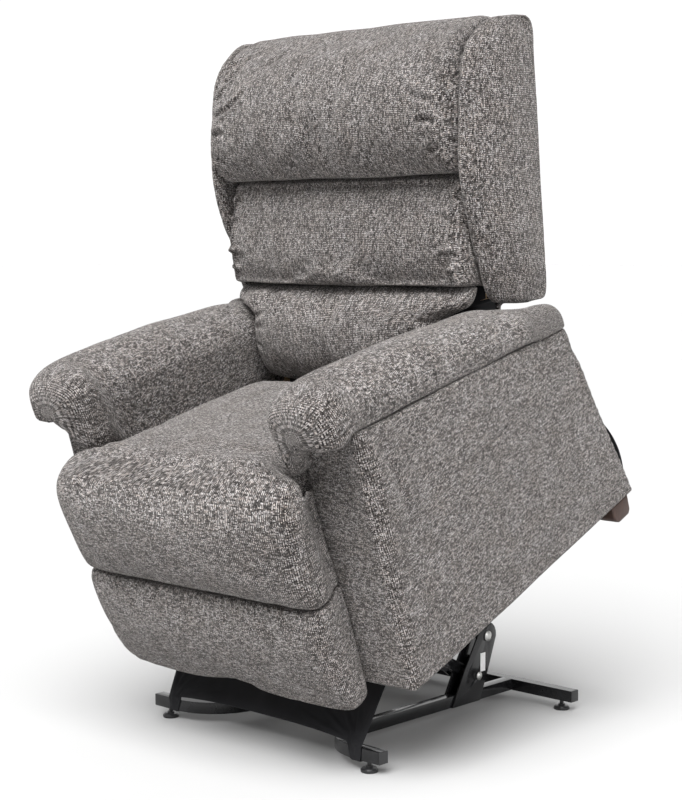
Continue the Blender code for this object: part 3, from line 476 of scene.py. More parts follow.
def gloss_paint():
    """Thick gloss black over steel, with faint orange peel and dust."""
    n = Nodes("gloss_black_paint")
    place = n.add("TexCoord").outputs["Object"]
    peel = n.noise(place, 420.0, 2.0)
    dust = n.noise(place, 35.0, 5.0, 0.7)
    colour = n.ramp(dust, ((0.35, (0.006, 0.006, 0.0065)), (0.80, (0.022, 0.022, 0.024))))
    rough = n.ramp(dust, ((0.35, 0.10), (0.75, 0.26)))
    n.set(Base_Color=colour, Roughness=rough, Normal=n.bump(peel, 0.0002, 0.35))
    n.set(Specular_IOR_Level=0.32, Coat_Weight=0.15, Coat_Roughness=0.06)
    return n.mat


def nonwoven(name, colour):
    """Thin black spun cloth: a fine random web."""
    n = Nodes(name)
    place = n.add("TexCoord").outputs["Object"]
    web = n.noise(place, 900.0, 3.0, 0.7)
    cloud = n.noise(place, 22.0, 3.0)
    pale = tuple(c * 1.7 for c in colour)
    fine = n.ramp(web, ((0.35, colour), (0.70, pale)))
    broad = n.ramp(cloud, ((0.3, colour), (0.7, pale)))
    n.set(Base_Color=n.mix(0.5, fine, broad), Normal=n.bump(web, 0.0004, 0.5))
    n.set(Roughness=n.ramp(web, ((0.3, 0.80), (0.7, 0.95))), Sheen_Weight=0.04, Specular_IOR_Level=0.15)
    return n.mat


def metal(name, colour, rough):
    """Plated or bare metal with fine handling marks."""
    n = Nodes(name)
    place = n.add("TexCoord").outputs["Object"]
    marks = n.noise(place, 240.0, 4.0, 0.7)
    stain = n.noise(place, 28.0, 3.0)
    dark = tuple(c * 0.72 for c in colour)
    n.set(Base_Color=n.ramp(stain, ((0.35, dark), (0.65, colour))))
    scuffed = n.ramp(marks, ((0.3, rough * 0.7), (0.7, rough * 1.5)))
    n.set(Roughness=scuffed, Normal=n.bump(marks, 0.0001, 0.3), Metallic=1.0)
    return n.mat


def moulded(name, colour, rough, grain=1400.0, depth=0.0002):
    """Moulded plastic or rubber with a fine eroded grain."""
    n = Nodes(name)
    place = n.add("TexCoord").outputs["Object"]
    cells = n.noise(place, grain, 2.0, 0.6)
    scuff = n.noise(place, 60.0, 4.0, 0.7)
    pale = tuple(min(1.0, c * 1.5 + 0.004) for c in colour)
    n.set(Base_Color=n.ramp(scuff, ((0.40, colour), (0.80, pale))))
    worn = n.ramp(scuff, ((0.3, rough * 0.85), (0.7, rough * 1.2)))
    n.set(Roughness=worn, Normal=n.bump(cells, depth, 0.4))
    return n.mat


def timber(name, dark, pale, rough, axis_scale):
    """Wood with long grain; axis_scale stretches it along the board."""
    n = Nodes(name)
    place = n.add("TexCoord").outputs["Object"]
    stretched = n.add("Mapping", None, Vector=place, Scale=axis_scale).outputs[0]
    grain = n.noise(stretched, 30.0, 5.0, 0.65)
    pores = n.noise(stretched, 220.0, 2.0)
    broad = n.ramp(grain, ((0.35, dark), (0.65, pale)))
    fine = n.ramp(pores, ((0.4, dark), (0.6, pale)))
    n.set(Base_Color=n.mix(0.3, broad, fine), Normal=n.bump(pores, 0.0003, 0.4))
    n.set(Roughness=n.ramp(grain, ((0.3, rough), (0.7, rough * 1.25))))
    return n.mat


TWEED = tweed()
SKIRT_CLOTH = nonwoven("skirt_cloth", BLACK)
DARK_STAIN = (0.020, 0.009, 0.006)
FINISH = {
    "black_gloss_paint": gloss_paint(),
    "zinc_plate": metal("zinc_plating", (0.62, 0.62, 0.60), 0.30),
    "black_plastic": moulded("black_cap_plastic", (0.016, 0.016, 0.017), 0.38),
    "foot_plastic": moulded("glide_plastic", (0.012, 0.012, 0.013), 0.32),
    "label_film": moulded("blank_label", (0.86, 0.86, 0.85), 0.45, 300.0),
    "tweed_upholstery": TWEED,
    "black_cloth": SKIRT_CLOTH,
    "plywood": timber("plywood_sheet", (0.42, 0.28, 0.15), (0.66, 0.50, 0.31), 0.6, (1.0, 9.0, 9.0)),
    "stained_wood": timber("dark_stained_wood", DARK_STAIN, (0.062, 0.028, 0.018), 0.34, (9.0, 9.0, 1.0)),
    "spring_steel": metal("spring_wire", (0.30, 0.30, 0.31), 0.42),
    "motor_case": moulded("motor_housing", (0.024, 0.024, 0.026), 0.48, 900.0, 0.0003),
    "ram_alloy": metal("ram_tube", (0.50, 0.51, 0.53), 0.34),
    "rod_chrome": metal("chrome_rod", (0.78, 0.78, 0.79), 0.10),
}


# ---- back pillows ----
def pillow_rings(section, half, ends, count=88, around=120):
    """Sections across X of a pillow; ends(share, points) reshapes one toward its sewn ends."""
    loop = spline(section, around, closed=True)
    rings = []
    for k in range(count):
        share = -cos(pi * (k + 0.5) / count)
        share = 0.55 * share + 0.45 * (2 * (k + 0.5) / count - 1)
        points = ends(abs(share), loop)
        spread = 1.0 + 0.035 * smooth(-0.03, 0.03, points[:, 1]) * smooth(0.795, 0.760, points[:, 0])
        rings.append(np.stack([share * half * spread, -points[:, 1], points[:, 0]], axis=1))
    return rings


def sew_ends(swell, tuck, gather):
    """A crowned front that turns back to a seam at both ends."""

    def ends(away, loop):
        points = loop.copy()
        front = smooth(BOARD_FACE, BOARD_FACE + 0.06, loop[:, 1])
        middle = loop[:, 0].mean()
        crown = swell * (1.0 - away ** 2.4)
        shut = max(0.0, (away - 0.915) / 0.085) ** 1.3
        points[:, 1] += front * (crown - tuck * shut)
        points[:, 0] += (middle - points[:, 0]) * gather * shut
        return points

    return ends


def fan(ob, x_end, marks):
    """Folds on the front of a pillow, run in from both sewn ends: (height, length, rise, bend) each."""
    at = coords(ob)
    lines = []
    for sign in (1, -1):
        for height, length, rise, bend in marks:
            middle = (x_end - length * 0.5, height + rise * 0.45 + bend)
            lifted = []
            for x, z in spline([(x_end, height), middle, (x_end - length, height + rise)], 9):
                near = np.hypot(at[:, 0] - sign * x, at[:, 2] - z) < 0.008
                lifted.append((sign * x, at[near, 1].min(), z))
            lines.append(lifted)
    return lines


def sewn_ends(at):
    """The back of a pillow and its two ends, which are sewn to the board and the wings."""
    return (at[:, 1] > SEWN_EDGE) | (np.abs(at[:, 0]) > PILLOW_HALF * 0.985)


def head_pillow():
    """The top pillow rolls over the upper edge of the back."""
    section = [
        (0.4860, -0.024), (0.4800, 0.010), (0.4840, 0.042), (0.5080, 0.062), (0.5500, 0.073),
        (0.5900, 0.072), (0.6400, 0.062), (0.6900, 0.041), (0.7350, 0.007), (0.7680, -0.036),
        (0.7850, -0.080), (0.7830, -0.115), (0.7700, -0.136), (0.7560, -0.132), (0.7540, -0.080),
        (0.7440, -0.036), (0.6900, -0.029), (0.5600, -0.029),
    ]
    rings = pillow_rings(section, PILLOW_HALF, sew_ends(0.014, 0.070, 0.06), around=168)
    ob = skin("head_pillow_cover", rings, turned=True)
    at = coords(ob)
    plump(ob, sewn_ends(at) | (at[:, 2] < 0.4860), 4.0, 0.035, 0.016)
    subdivide(ob)
    marks = [
        (0.728, 0.050, 0.026, -0.004), (0.690, 0.076, 0.062, -0.010), (0.662, 0.046, 0.030, -0.004),
        (0.622, 0.134, 0.076, -0.012), (0.578, 0.074, -0.008, 0.016), (0.540, 0.060, -0.040, 0.004),
    ]
    press(ob, fan(ob, FOLD_START, marks), 0.0085, 0.0060, fade=(0.25, 0.60))
    return ripple(ob, 0.003, 0.11, 1)


def mid_pillow():
    """The plain pillow between the head and the lumbar."""
    section = [
        (0.2620, -0.026), (0.2560, 0.006), (0.2600, 0.036), (0.2820, 0.055), (0.3200, 0.062),
        (0.3600, 0.059), (0.4100, 0.046), (0.4500, 0.028), (0.4750, 0.006), (0.4770, -0.020),
        (0.4300, -0.029), (0.3000, -0.029),
    ]
    rings = pillow_rings(section, PILLOW_HALF, sew_ends(0.018, 0.064, -0.05), around=132)
    ob = skin("mid_pillow_cover", rings, turned=True)
    at = coords(ob)
    plump(ob, sewn_ends(at) | (at[:, 2] < 0.262) | (at[:, 2] > 0.470), 4.0, 0.035, 0.016)
    subdivide(ob)
    marks = [
        (0.436, 0.036, 0.014, 0.002), (0.400, 0.066, 0.024, -0.004),
        (0.328, 0.056, -0.010, 0.010), (0.298, 0.040, -0.014, 0.002),
    ]
    press(ob, fan(ob, FOLD_START, marks), 0.0065, 0.0060, fade=(0.25, 0.60))
    return ripple(ob, 0.003, 0.10, 2)


def lumbar_pillow():
    """The bottom pillow is narrow between the arms and spreads to the wings above them."""
    rows = [
        (0.040, -0.010, 0.232), (0.046, 0.030, 0.244), (0.062, 0.058, 0.255), (0.090, 0.076, 0.2590),
        (0.130, 0.086, 0.2610), (0.170, 0.085, 0.2615), (0.187, 0.081, 0.2650), (0.200, 0.077, 0.286),
        (0.212, 0.071, 0.317), (0.226, 0.062, 0.330), (0.240, 0.048, 0.333), (0.250, 0.026, 0.330),
        (0.253, 0.000, 0.314),
    ]
    path = spline(rows, 46)
    rings = []
    for up, front, half in path:
        deep = 0.5 * (front + 0.030)
        loop = superellipse(half, deep, 3.0)
        loop = even(np.vstack([loop, loop[:1]]), 120, closed=True)
        rings.append([(a, -(0.5 * (front - 0.030) + b), up) for a, b in loop])
    ob = skin("lumbar_pillow_cover", rings)
    at = coords(ob)
    sewn = (at[:, 1] > SEWN_EDGE) | (np.abs(at[:, 0]) > 0.318) | (at[:, 2] < 0.044) | (at[:, 2] > 0.247)
    plump(ob, sewn, 4.0, 0.02, 0.014)
    subdivide(ob)
    marks = [(0.185, 0.060, 0.030, 0.0), (0.160, 0.050, 0.006, 0.004), (0.130, 0.045, -0.020, 0.0)]
    press(ob, fan(ob, 0.244, marks), 0.0045, 0.0060, fade=(0.05, 0.5))
    return ripple(ob, 0.003, 0.10, 3)


def wing(sign):
    """A padded ear whose face rounds off toward the pillows and over its top."""
    rows = [
        (0.213, -0.080, -0.135), (0.217, -0.040, -0.150), (0.230, -0.018, -0.157),
        (0.260, -0.002, -0.160), (0.300, 0.010, -0.161), (0.350, 0.026, -0.161), (0.400, 0.042, -0.161),
        (0.450, 0.053, -0.161), (0.500, 0.056, -0.161), (0.560, 0.051, -0.161), (0.623, 0.042, -0.161),
        (0.680, 0.029, -0.161), (0.722, 0.007, -0.160), (0.750, -0.022, -0.158), (0.769, -0.052, -0.150),
        (0.779, -0.082, -0.134),
    ]
    rings = []
    for up, front, rear in spline(rows, 96):
        deep = front - rear
        outline = [
            (0.3940, rear + 0.11 * deep), (0.3890, rear + 0.004), (0.3700, rear), (0.3440, rear + 0.004),
            (WING_INSIDE, rear + 0.10 * deep), (WING_INSIDE, rear + 0.45 * deep),
            (WING_INSIDE, front - 0.16 * deep), (0.3410, front - 0.03 * deep), (0.3480, front),
            (0.3570, front - 0.03 * deep), (0.3740, front - 0.17 * deep), (0.3880, front - 0.40 * deep),
            (0.3945, front - 0.66 * deep),
        ]
        rings.append([(sign * x, -f, up) for x, f in spline(outline, 56, closed=True)])
    name = "wing_cover_" + ("left" if sign > 0 else "right")
    ob = skin(name, rings)
    at = coords(ob)
    sewn = (at[:, 1] > 0.154) | (np.abs(at[:, 0]) < 0.3400)
    plump(ob, sewn, 2.0, 0.01, 0.006)
    subdivide(ob)
    folds = []
    heights, fronts, _ = zip(*rows)
    marks = ((0.735, 0.050, 0.016), (0.716, 0.040, 0.010), (0.700, 0.048, 0.012), (0.684, 0.034, 0.006))
    for up, length, drop in marks:
        forward = float(np.interp(up, heights, fronts))
        folds.append([
            (sign * 0.343, -forward, up), (sign * 0.356, -forward + 0.012, up - drop * 0.4),
            (sign * 0.372, -forward + length * 0.7, up - drop),
        ])
    press(ob, folds, 0.0028, 0.0042, fade=(0.1, 0.5))
    seam = ((0.362, 0.105, 0.778), (0.366, 0.050, 0.735), (0.362, 0.004, 0.660), (0.360, -0.018, 0.590))
    press(ob, [[(sign * x, y, z) for x, y, z in seam]], 0.0016, 0.0060, fade=(0.2, 0.4))
    return ripple(ob, 0.0022, 0.13, 4 + sign)


# ---- arms ----
def panel_top(y):
    return 0.5265 + (y - 0.053) * (0.4315 - 0.5265) / (0.692 - 0.053)


def panel_rear(z):
    return 0.783 - 0.211 * z


def arm_sleeve(sign):
    """The arm's padded sleeve: from the outside seam over the top and down to the seat."""
    rows = [
        # y, outer lower edge, inner lower edge, top, inner face, outer face
        (-0.0225, 0.543, 0.528, 0.566, 0.338, 0.372), (-0.0200, 0.532, 0.505, 0.581, 0.311, 0.397),
        (-0.0130, 0.524, 0.478, 0.596, 0.290, 0.417), (0.0000, 0.521, 0.456, 0.609, 0.277, 0.4310),
        (0.0200, 0.520, 0.446, 0.618, 0.271, 0.4375), (0.0450, None, 0.440, 0.6230, 0.2695, 0.4390),
        (0.0800, None, 0.360, 0.6225, 0.2695, 0.4390), (0.1500, None, 0.335, 0.612, 0.2695, 0.4390),
        (0.2250, None, 0.335, 0.599, 0.2695, 0.4390), (0.3000, None, 0.335, 0.585, 0.2695, 0.4390),
        (0.3750, None, 0.335, 0.569, 0.2695, 0.4390), (0.4500, None, 0.335, 0.552, 0.2695, 0.4390),
        (0.5200, None, 0.335, 0.536, 0.2710, 0.4390), (0.5600, None, 0.340, 0.525, 0.2760, 0.4390),
        (0.5800, None, 0.400, 0.520, 0.3000, 0.4390), (0.5930, None, 0.440, 0.517, 0.3800, 0.4390),
        (0.6050, None, 0.445, 0.514, 0.4010, 0.4388), (0.6400, None, 0.440, 0.504, 0.4015, 0.4385),
        (0.6700, None, 0.436, 0.492, 0.4020, 0.4380), (0.6830, None, 0.434, 0.479, 0.4040, 0.4370),
        (0.6890, None, 0.433, 0.465, 0.4080, 0.4350),
    ]
    table = [(y, panel_top(y) + 0.001 if low is None else low, *rest) for y, low, *rest in rows]
    rings = []
    for y, seam, drop, high, inner, outer in spline(table, 110):
        tail = float(smooth(0.560, 0.600, y))
        middle, half = 0.5 * (inner + outer), 0.5 * (outer - inner)
        tall = high - seam
        outline = [
            (middle + half * 0.93, seam + 0.002), (middle + half, seam + tall * 0.20),
            (middle + half, seam + tall * 0.52), (middle + half * 0.84, seam + tall * 0.84),
            (middle + half * 0.42, high - tall * 0.03), (middle, high),
            (middle - half * 0.45, high - tall * 0.035), (middle - half * 0.85, high - tall * 0.17),
            (middle - half, high - tall * 0.46),
            (middle - half * 1.005, 0.5 * (drop + high - tall * 0.46)), (middle - half * 0.97, drop + 0.004),
            (middle - half * 0.80, drop), (middle - half * 0.62, drop + 0.010 * (1 - tail)),
            (middle - half * 0.45, 0.6 * seam + 0.4 * drop),
            (middle - half * 0.10, seam - 0.001), (middle + half * 0.55, seam - 0.001),
        ]
        rings.append([(sign * x, y, z) for x, z in spline(outline, 100, closed=True)])
    name = "arm_sleeve_" + ("left" if sign > 0 else "right")
    ob = skin(name, rings)
    at = coords(ob)
    on_panel = (np.abs(at[:, 0]) > 0.285) & (at[:, 2] < panel_top(at[:, 1]) + 0.004) & (at[:, 1] > 0.05)
    plump(ob, on_panel | (at[:, 2] < 0.36) | (at[:, 1] > 0.560), 3.0, 0.015, 0.008)
    subdivide(ob)
    arm_folds(ob, sign)
    return ripple(ob, 0.0022, 0.12, 7 + sign)


def arm_folds(ob, sign):
    """Gathers round the front roll, and long soft folds down the inner side."""
    gathers = []
    for k in range(13):
        x = 0.282 + 0.0105 * k
        low = 0.462 + 0.45 * (x - 0.282)
        lean = (x - 0.350) * 0.45
        gathers.append([
            (sign * x, -0.012, low), (sign * (x - 0.2 * lean), -0.020, low + 0.035),
            (sign * (x - lean), 0.000, low + 0.095 + 0.012 * (k % 3)),
        ])
    press(ob, gathers, 0.0040, 0.0036, fade=(0.10, 0.55))
    sides = []
    for k in range(7):
        z = 0.470 + 0.016 * k
        more = 0.01 * (k % 2)
        for line in (
            ((0.272, 0.000, z), (0.268, 0.030, z + 0.004), (0.268, 0.070 + more, z + 0.010)),
            ((0.434, 0.000, z + 0.004), (0.4385, 0.024, z + 0.010), (0.4385, 0.062 + more, z + 0.018)),
        ):
            sides.append([(sign * x, y, up) for x, y, up in line])
    press(ob, sides, 0.0026, 0.0040, fade=(0.2, 0.6))
    folds = []
    inner = (
        (0.110, 0.430, 0.585), (0.165, 0.470, 0.590), (0.235, 0.400, 0.570),
        (0.330, 0.410, 0.545), (0.420, 0.400, 0.520),
    )
    for y, low, high in inner:
        line = ((0.290, y - 0.020, high), (0.2685, y, 0.5 * (low + high)), (0.2690, y + 0.012, low))
        folds.append([(sign * x, along, z) for x, along, z in line])
    press(ob, folds, 0.0022, 0.0055, fade=(0.3, 0.4))


# ---- seat and footrest ----
def side_lip(ring, across, lip):
    """Draws a pad's rear corners back along the slanted front of the arms, as narrow recessed bands."""
    back = lip * smooth(0.298, 0.306, np.abs(ring[:, 0])) * across
    ring[:, 1] += (LIP_BACK + ARM_SLANT * ring[:, 2] - ring[:, 1]) * back
    limit = np.maximum(0.300, 0.331 - 0.09 * ring[:, 2])
    over = np.maximum(0.0, np.abs(ring[:, 0]) - limit)
    ring[:, 0] -= np.sign(ring[:, 0]) * over * smooth(0.3, 0.8, back)
    return even(np.vstack([ring, ring[:1]]), 132, closed=True)


def seam_pulls(ob, marks, seam, fronts):
    """Short folds that start at the footrest's cross seam: (x, length up, drift across) each."""
    pulls = []
    for x, length, drift in marks:
        steps = zip((0.0, 0.5, 1.0), fronts)
        pulls.append([(x + drift * t, front, seam + length * t) for t, front in steps])
    press(ob, pulls, 0.0030, 0.0070, fade=(0.05, 0.6))


def chaise():
    """One long pad: the seat, rolled over the front edge and down to the footrest's seam."""
    # outer skin (Y, Z), inner skin (Y, Z), half width, how square its corners are, depth of the side lips
    rows = [
        (0.468, 0.376, 0.466, 0.342, 0.254, 4.0, 0.0), (0.440, 0.396, 0.440, 0.331, 0.2575, 4.0, 0.0),
        (0.320, 0.418, 0.320, 0.328, 0.2590, 4.2, 0.0), (0.176, 0.445, 0.176, 0.328, 0.2590, 4.2, 0.0),
        (0.080, 0.463, 0.080, 0.330, 0.2590, 4.2, 0.0), (0.030, 0.4705, 0.026, 0.345, 0.2600, 4.2, 0.0),
        (0.008, 0.4735, 0.006, 0.372, 0.2640, 4.0, 0.0), (-0.006, 0.4745, -0.006, 0.392, 0.292, 3.8, 0.0),
        (-0.020, 0.4735, -0.014, 0.400, 0.318, 3.4, 0.0), (-0.040, 0.4700, -0.022, 0.404, 0.328, 3.2, 0.0),
        (-0.066, 0.4600, -0.030, 0.4035, 0.331, 3.2, 0.6), (-0.089, 0.4440, -0.036, 0.399, 0.332, 3.2, 1.0),
        (-0.102, 0.4220, -0.040, 0.392, 0.334, 3.2, 1.0), (-0.108, 0.3960, -0.042, 0.382, 0.336, 3.2, 1.0),
        (-0.1105, 0.3600, -0.043, 0.352, 0.336, 3.2, 1.0), (-0.1110, 0.3150, -0.043, 0.312, 0.334, 3.2, 1.0),
        (-0.1100, 0.2700, -0.043, 0.270, 0.332, 3.2, 1.0), (-0.1050, 0.2380, -0.043, 0.240, 0.332, 3.2, 1.0),
        (-0.0950, 0.2190, -0.044, 0.222, 0.331, 3.2, 1.0), (-0.0780, 0.2125, -0.046, 0.2135, 0.328, 3.2, 1.0),
    ]
    rings = []
    for oy, oz, iy, iz, half, power, lip in spline(rows, 150):
        outer, inner = np.array([oy, oz]), np.array([iy, iz])
        deep = np.linalg.norm(outer - inner)
        way = (outer - inner) / deep
        loop = superellipse(half, 0.5 * deep, power)
        middle = 0.5 * (outer + inner)
        ring = np.array([(a, *(middle + way * b)) for a, b in loop])
        rings.append(side_lip(ring, smooth(0.1 * deep, -0.3 * deep, loop[:, 1]), lip))
    ob = skin("seat_and_footrest_cover", rings, turned=True)
    at = coords(ob)
    low = at[:, 2] < np.interp(at[:, 1], [-0.05, 0.0, 0.03, 0.47], [0.40, 0.385, 0.350, 0.345])
    inside = (at[:, 1] > -0.048) & (at[:, 1] < 0.002) & (at[:, 2] < 0.408)
    sewn = (low & (at[:, 1] > -0.05)) | inside | (at[:, 2] < 0.2145) | (at[:, 1] > 0.462)
    plump(ob, sewn, 4.0, 0.012, 0.014)
    subdivide(ob)
    ridge = [
        (-0.235, 0.030, 0.478), (-0.150, 0.018, 0.484), (-0.060, 0.004, 0.486), (0.050, 0.012, 0.486),
        (0.160, 0.020, 0.484), (0.240, 0.034, 0.478),
    ]
    press(ob, [ridge], 0.0030, 0.0180, fade=(0.2, 0.2), lip=0.5)
    tucks = []
    for line in (
        ((0.262, 0.004, 0.470), (0.235, -0.012, 0.480), (0.196, -0.030, 0.478)),
        ((0.268, -0.004, 0.466), (0.258, -0.040, 0.474), (0.236, -0.070, 0.466)),
    ):
        tucks += [[(sign * x, y, z) for x, y, z in line] for sign in (-1, 1)]
    press(ob, tucks, 0.0030, 0.0090, fade=(0.1, 0.5))
    marks = ((-0.325, 0.05, 0.02), (-0.300, 0.035, 0.01), (0.290, 0.050, -0.02), (0.322, 0.060, -0.03))
    seam_pulls(ob, marks, 0.2130, (-0.100, -0.112, -0.115))
    return ripple(ob, 0.0035, 0.14, 12)


def footrest_cover():
    """The lower half of the footrest, rounded under at its bottom edge."""
    rows = [
        # Z, front Y, back Y, half width, depth of the side lips
        (0.2100, -0.0780, -0.046, 0.328, 1.0), (0.2050, -0.0940, -0.044, 0.331, 1.0),
        (0.1880, -0.1020, -0.043, 0.332, 1.0), (0.1500, -0.1055, -0.043, 0.332, 1.0),
        (0.1050, -0.1030, -0.043, 0.331, 1.0), (0.0600, -0.0955, -0.043, 0.331, 1.0),
        (0.0250, -0.0860, -0.043, 0.330, 1.0), (0.0010, -0.0770, -0.043, 0.328, 1.0),
        (-0.0130, -0.0690, -0.043, 0.324, 1.0), (-0.0235, -0.0560, -0.040, 0.314, 0.9),
    ]
    rings = []
    for z, front, back, half, lip in spline(rows, 62):
        deep = back - front
        loop = superellipse(half, 0.5 * deep, 3.2)
        ring = np.array([(a, 0.5 * (front + back) - b, z) for a, b in loop])
        rings.append(side_lip(ring, smooth(0.1 * deep, -0.3 * deep, loop[:, 1]), lip))
    ob = skin("footrest_lower_cover", rings, turned=True)
    at = coords(ob)
    sewn = (at[:, 1] > -0.050) | (at[:, 2] > 0.2065)
    plump(ob, sewn, 4.0, 0.012, 0.012)
    subdivide(ob)
    marks = ((-0.318, -0.050, 0.018), (0.282, -0.040, -0.012), (0.316, -0.065, -0.030))
    seam_pulls(ob, marks, 0.2080, (-0.098, -0.106, -0.106))
    return ripple(ob, 0.0035, 0.14, 13)


# ---- flat upholstered panels ----
def box_weave(ob):
    """Lays the weave on each face along the two axes that it faces least."""
    mesh = ob.data
    layer = mesh.uv_layers.get("weave") or mesh.uv_layers.new(name="weave")
    points = coords(ob)
    for face in mesh.polygons:
        axis = int(np.argmax(np.abs(face.normal)))
        a, b = ((1, 2), (0, 2), (0, 1))[axis]
        for k in face.loop_indices:
            p = points[mesh.loops[k].vertex_index]
            layer.data[k].uv = (p[a] + 0.31 * axis, p[b])
    return ob


def panel_from(node, matrix, rounds, name):
    """A padded panel on the shape of a CAD node, with soft corners."""
    ob = new_object(name, frame["nodes"][node].data.copy())
    ob.data.transform(matrix.inverted())
    mod = ob.modifiers.new("skin", "REMESH")
    mod.mode = "VOXEL"
    mod.voxel_size = PANEL_VOXEL
    mod.adaptivity = 0.0
    ease = ob.modifiers.new("ease", "SMOOTH")
    ease.factor = 0.5
    ease.iterations = rounds
    bake_modifiers(ob)
    return ob


def rounded_front(at, radius):
    """Rounds the upright corner where a side panel turns onto the arm's front."""
    side = np.maximum(0.0, radius - (ARM_OUT - np.abs(at[:, 0])))
    front = np.maximum(0.0, radius - (at[:, 1] - ARM_SLANT * at[:, 2]))
    both = np.hypot(side, front)
    pull = np.where((side > 0) & (front > 0) & (both > radius), 1.0 - radius / np.maximum(both, 1e-9), 0.0)
    at[:, 0] -= np.sign(at[:, 0]) * side * pull
    at[:, 1] += front * pull
    return at


def side_panel(sign):
    side = "left" if sign > 0 else "right"
    ob = panel_from("arm_box_" + side, SEAT, 14, "side_panel_" + side)
    at = coords(ob)
    out = smooth(0.425, 0.4345, np.abs(at[:, 0]))
    y, z = at[:, 1], at[:, 2]
    rim = np.minimum.reduce([y, z, panel_rear(z) - y, panel_top(y) - z])
    at[:, 0] += sign * out * 0.0045 * smooth(0.0, 0.10, rim)
    set_coords(ob, rounded_front(at, 0.024))
    x = sign * 0.4375
    seam = ((0.478, 0.440), (0.473, 0.346), (0.472, 0.266), (0.464, 0.163), (0.476, 0.068), (0.480, 0.008))
    press(ob, [[(x, y, z) for y, z in seam]], 0.0016, 0.0028, fade=(0.02, 0.02), lip=0.5)
    crease = [(x, 0.466, 0.354), (x, 0.394, 0.330), (x, 0.311, 0.331), (x, 0.249, 0.339), (x, 0.201, 0.353)]
    press(ob, [crease], 0.0034, 0.0046, fade=(0.05, 0.5), lip=0.5)
    pulls = [
        [(x, 0.048, 0.505), (x, 0.046, 0.440), (x, 0.040, 0.360), (x, 0.040, 0.260)],
        [(x, 0.090, 0.505), (x, 0.110, 0.400), (x, 0.112, 0.280)],
        [(x, 0.700, 0.405), (x, 0.690, 0.330), (x, 0.700, 0.240)],
    ]
    press(ob, pulls, 0.0036, 0.0110, fade=(0.2, 0.5), lip=0.5)
    ripple(ob, 0.0030, 0.16, 20 + sign)
    return box_weave(ob)


def outside_back():
    ob = panel_from("back_cover", BACK, 10, "outside_back_cover")
    press(ob, [[(-0.300, 0.166, 0.215), (0.300, 0.166, 0.215)]], 0.0015, 0.0030, fade=(0.02, 0.02))
    sides = [[(x, 0.165, -0.080), (x, 0.165, 0.740)] for x in (-0.318, 0.318)]
    press(ob, sides, 0.0018, 0.0028, fade=(0.02, 0.02))
    ripple(ob, 0.0030, 0.18, 31)
    return box_weave(ob)


def lower_back():
    ob = panel_from("rear_panel", SEAT, 8, "lower_back_cover")
    ripple(ob, 0.0025, 0.15, 32)
    return box_weave(ob)


# ---- cloth sheets ----
def cloth_grid(name, points):
    """An open sheet through a grid of points."""
    rows, columns = points.shape[:2]
    bm = bmesh.new()
    verts = [[bm.verts.new(p) for p in row] for row in points]
    for i in range(rows - 1):
        for k in range(columns - 1):
            bm.faces.new((verts[i][k], verts[i][k + 1], verts[i + 1][k + 1], verts[i + 1][k]))
    mesh = bpy.data.meshes.new(name)
    bm.to_mesh(mesh)
    bm.free()
    ob = new_object(name, mesh)
    shade_smooth(ob)
    return ob


def thicken(ob, thickness=0.0008):
    """Gives a sheet its thickness, and returns its one-sided area."""
    area = sum(face.area for face in ob.data.polygons)
    mod = ob.modifiers.new("thickness", "SOLIDIFY")
    mod.thickness = thickness
    mod.offset = 0.0
    bake_modifiers(ob)
    return area


def skirt():
    """Black cloth from under the footrest down to the front feet, wrapped round the tubes at its ends."""
    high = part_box("skirt")[1]
    tube_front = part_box("base_rail_left")[0].y - 0.0016
    half = high.x - 0.002
    columns = np.linspace(-1.0, 1.0, 150)
    rows = 48
    grid = np.zeros((rows, len(columns), 3))
    for k, share in enumerate(columns):
        away = abs(share)
        x_top = share * half
        x_low = share * (half - 0.016)
        drop = 0.050 + 0.014 * (1.0 - away ** 3)
        wrap = float(smooth(0.865, 0.915, away))
        sag = 0.006 * sin(pi * away)
        path = [
            (high.y - 0.0015, high.z - 0.001), (0.5 * (high.y + tube_front) + sag, 0.5 * (high.z + drop)),
            (tube_front, max(drop, 0.0495)), (tube_front, drop + (0.0205 - drop) * wrap),
            (tube_front + 0.012 * wrap + 0.0002, 0.0198 * wrap + drop * (1 - wrap) - 0.0002),
        ]
        line = even(np.array(path), rows)
        for i, (y, z) in enumerate(line):
            t = i / (rows - 1)
            grid[i, k] = (x_top + (x_low - x_top) * t, y, z)
    ob = cloth_grid("skirt_sheet", grid)
    folds = []
    slope = (high.y - tube_front) / (high.z - 0.050)
    for sign in (-1, 1):
        corner = (sign * 0.272, tube_front - 0.001, 0.050)
        for x, z in ((0.284, 0.150), (0.240, 0.140), (0.190, 0.128), (0.130, 0.112), (0.070, 0.090)):
            y = tube_front + (z - 0.050) * slope
            middle = (sign * (0.272 + x) / 2, (corner[1] + y) / 2, (z + 0.050) / 2)
            folds.append([corner, middle, (sign * x, y, z)])
        folds.append([(sign * x, tube_front, z) for x, z in ((0.266, 0.050), (0.270, 0.034), (0.268, 0.021))])
    press(ob, folds, 0.0016, 0.0042, fade=(0.02, 0.55), lip=0.5)
    ripple(ob, 0.0016, 0.07, 41)
    area = thicken(ob)
    settle(ob, WORLD, "base", SKIRT_CLOTH)
    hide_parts("skirt")
    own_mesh(ob)


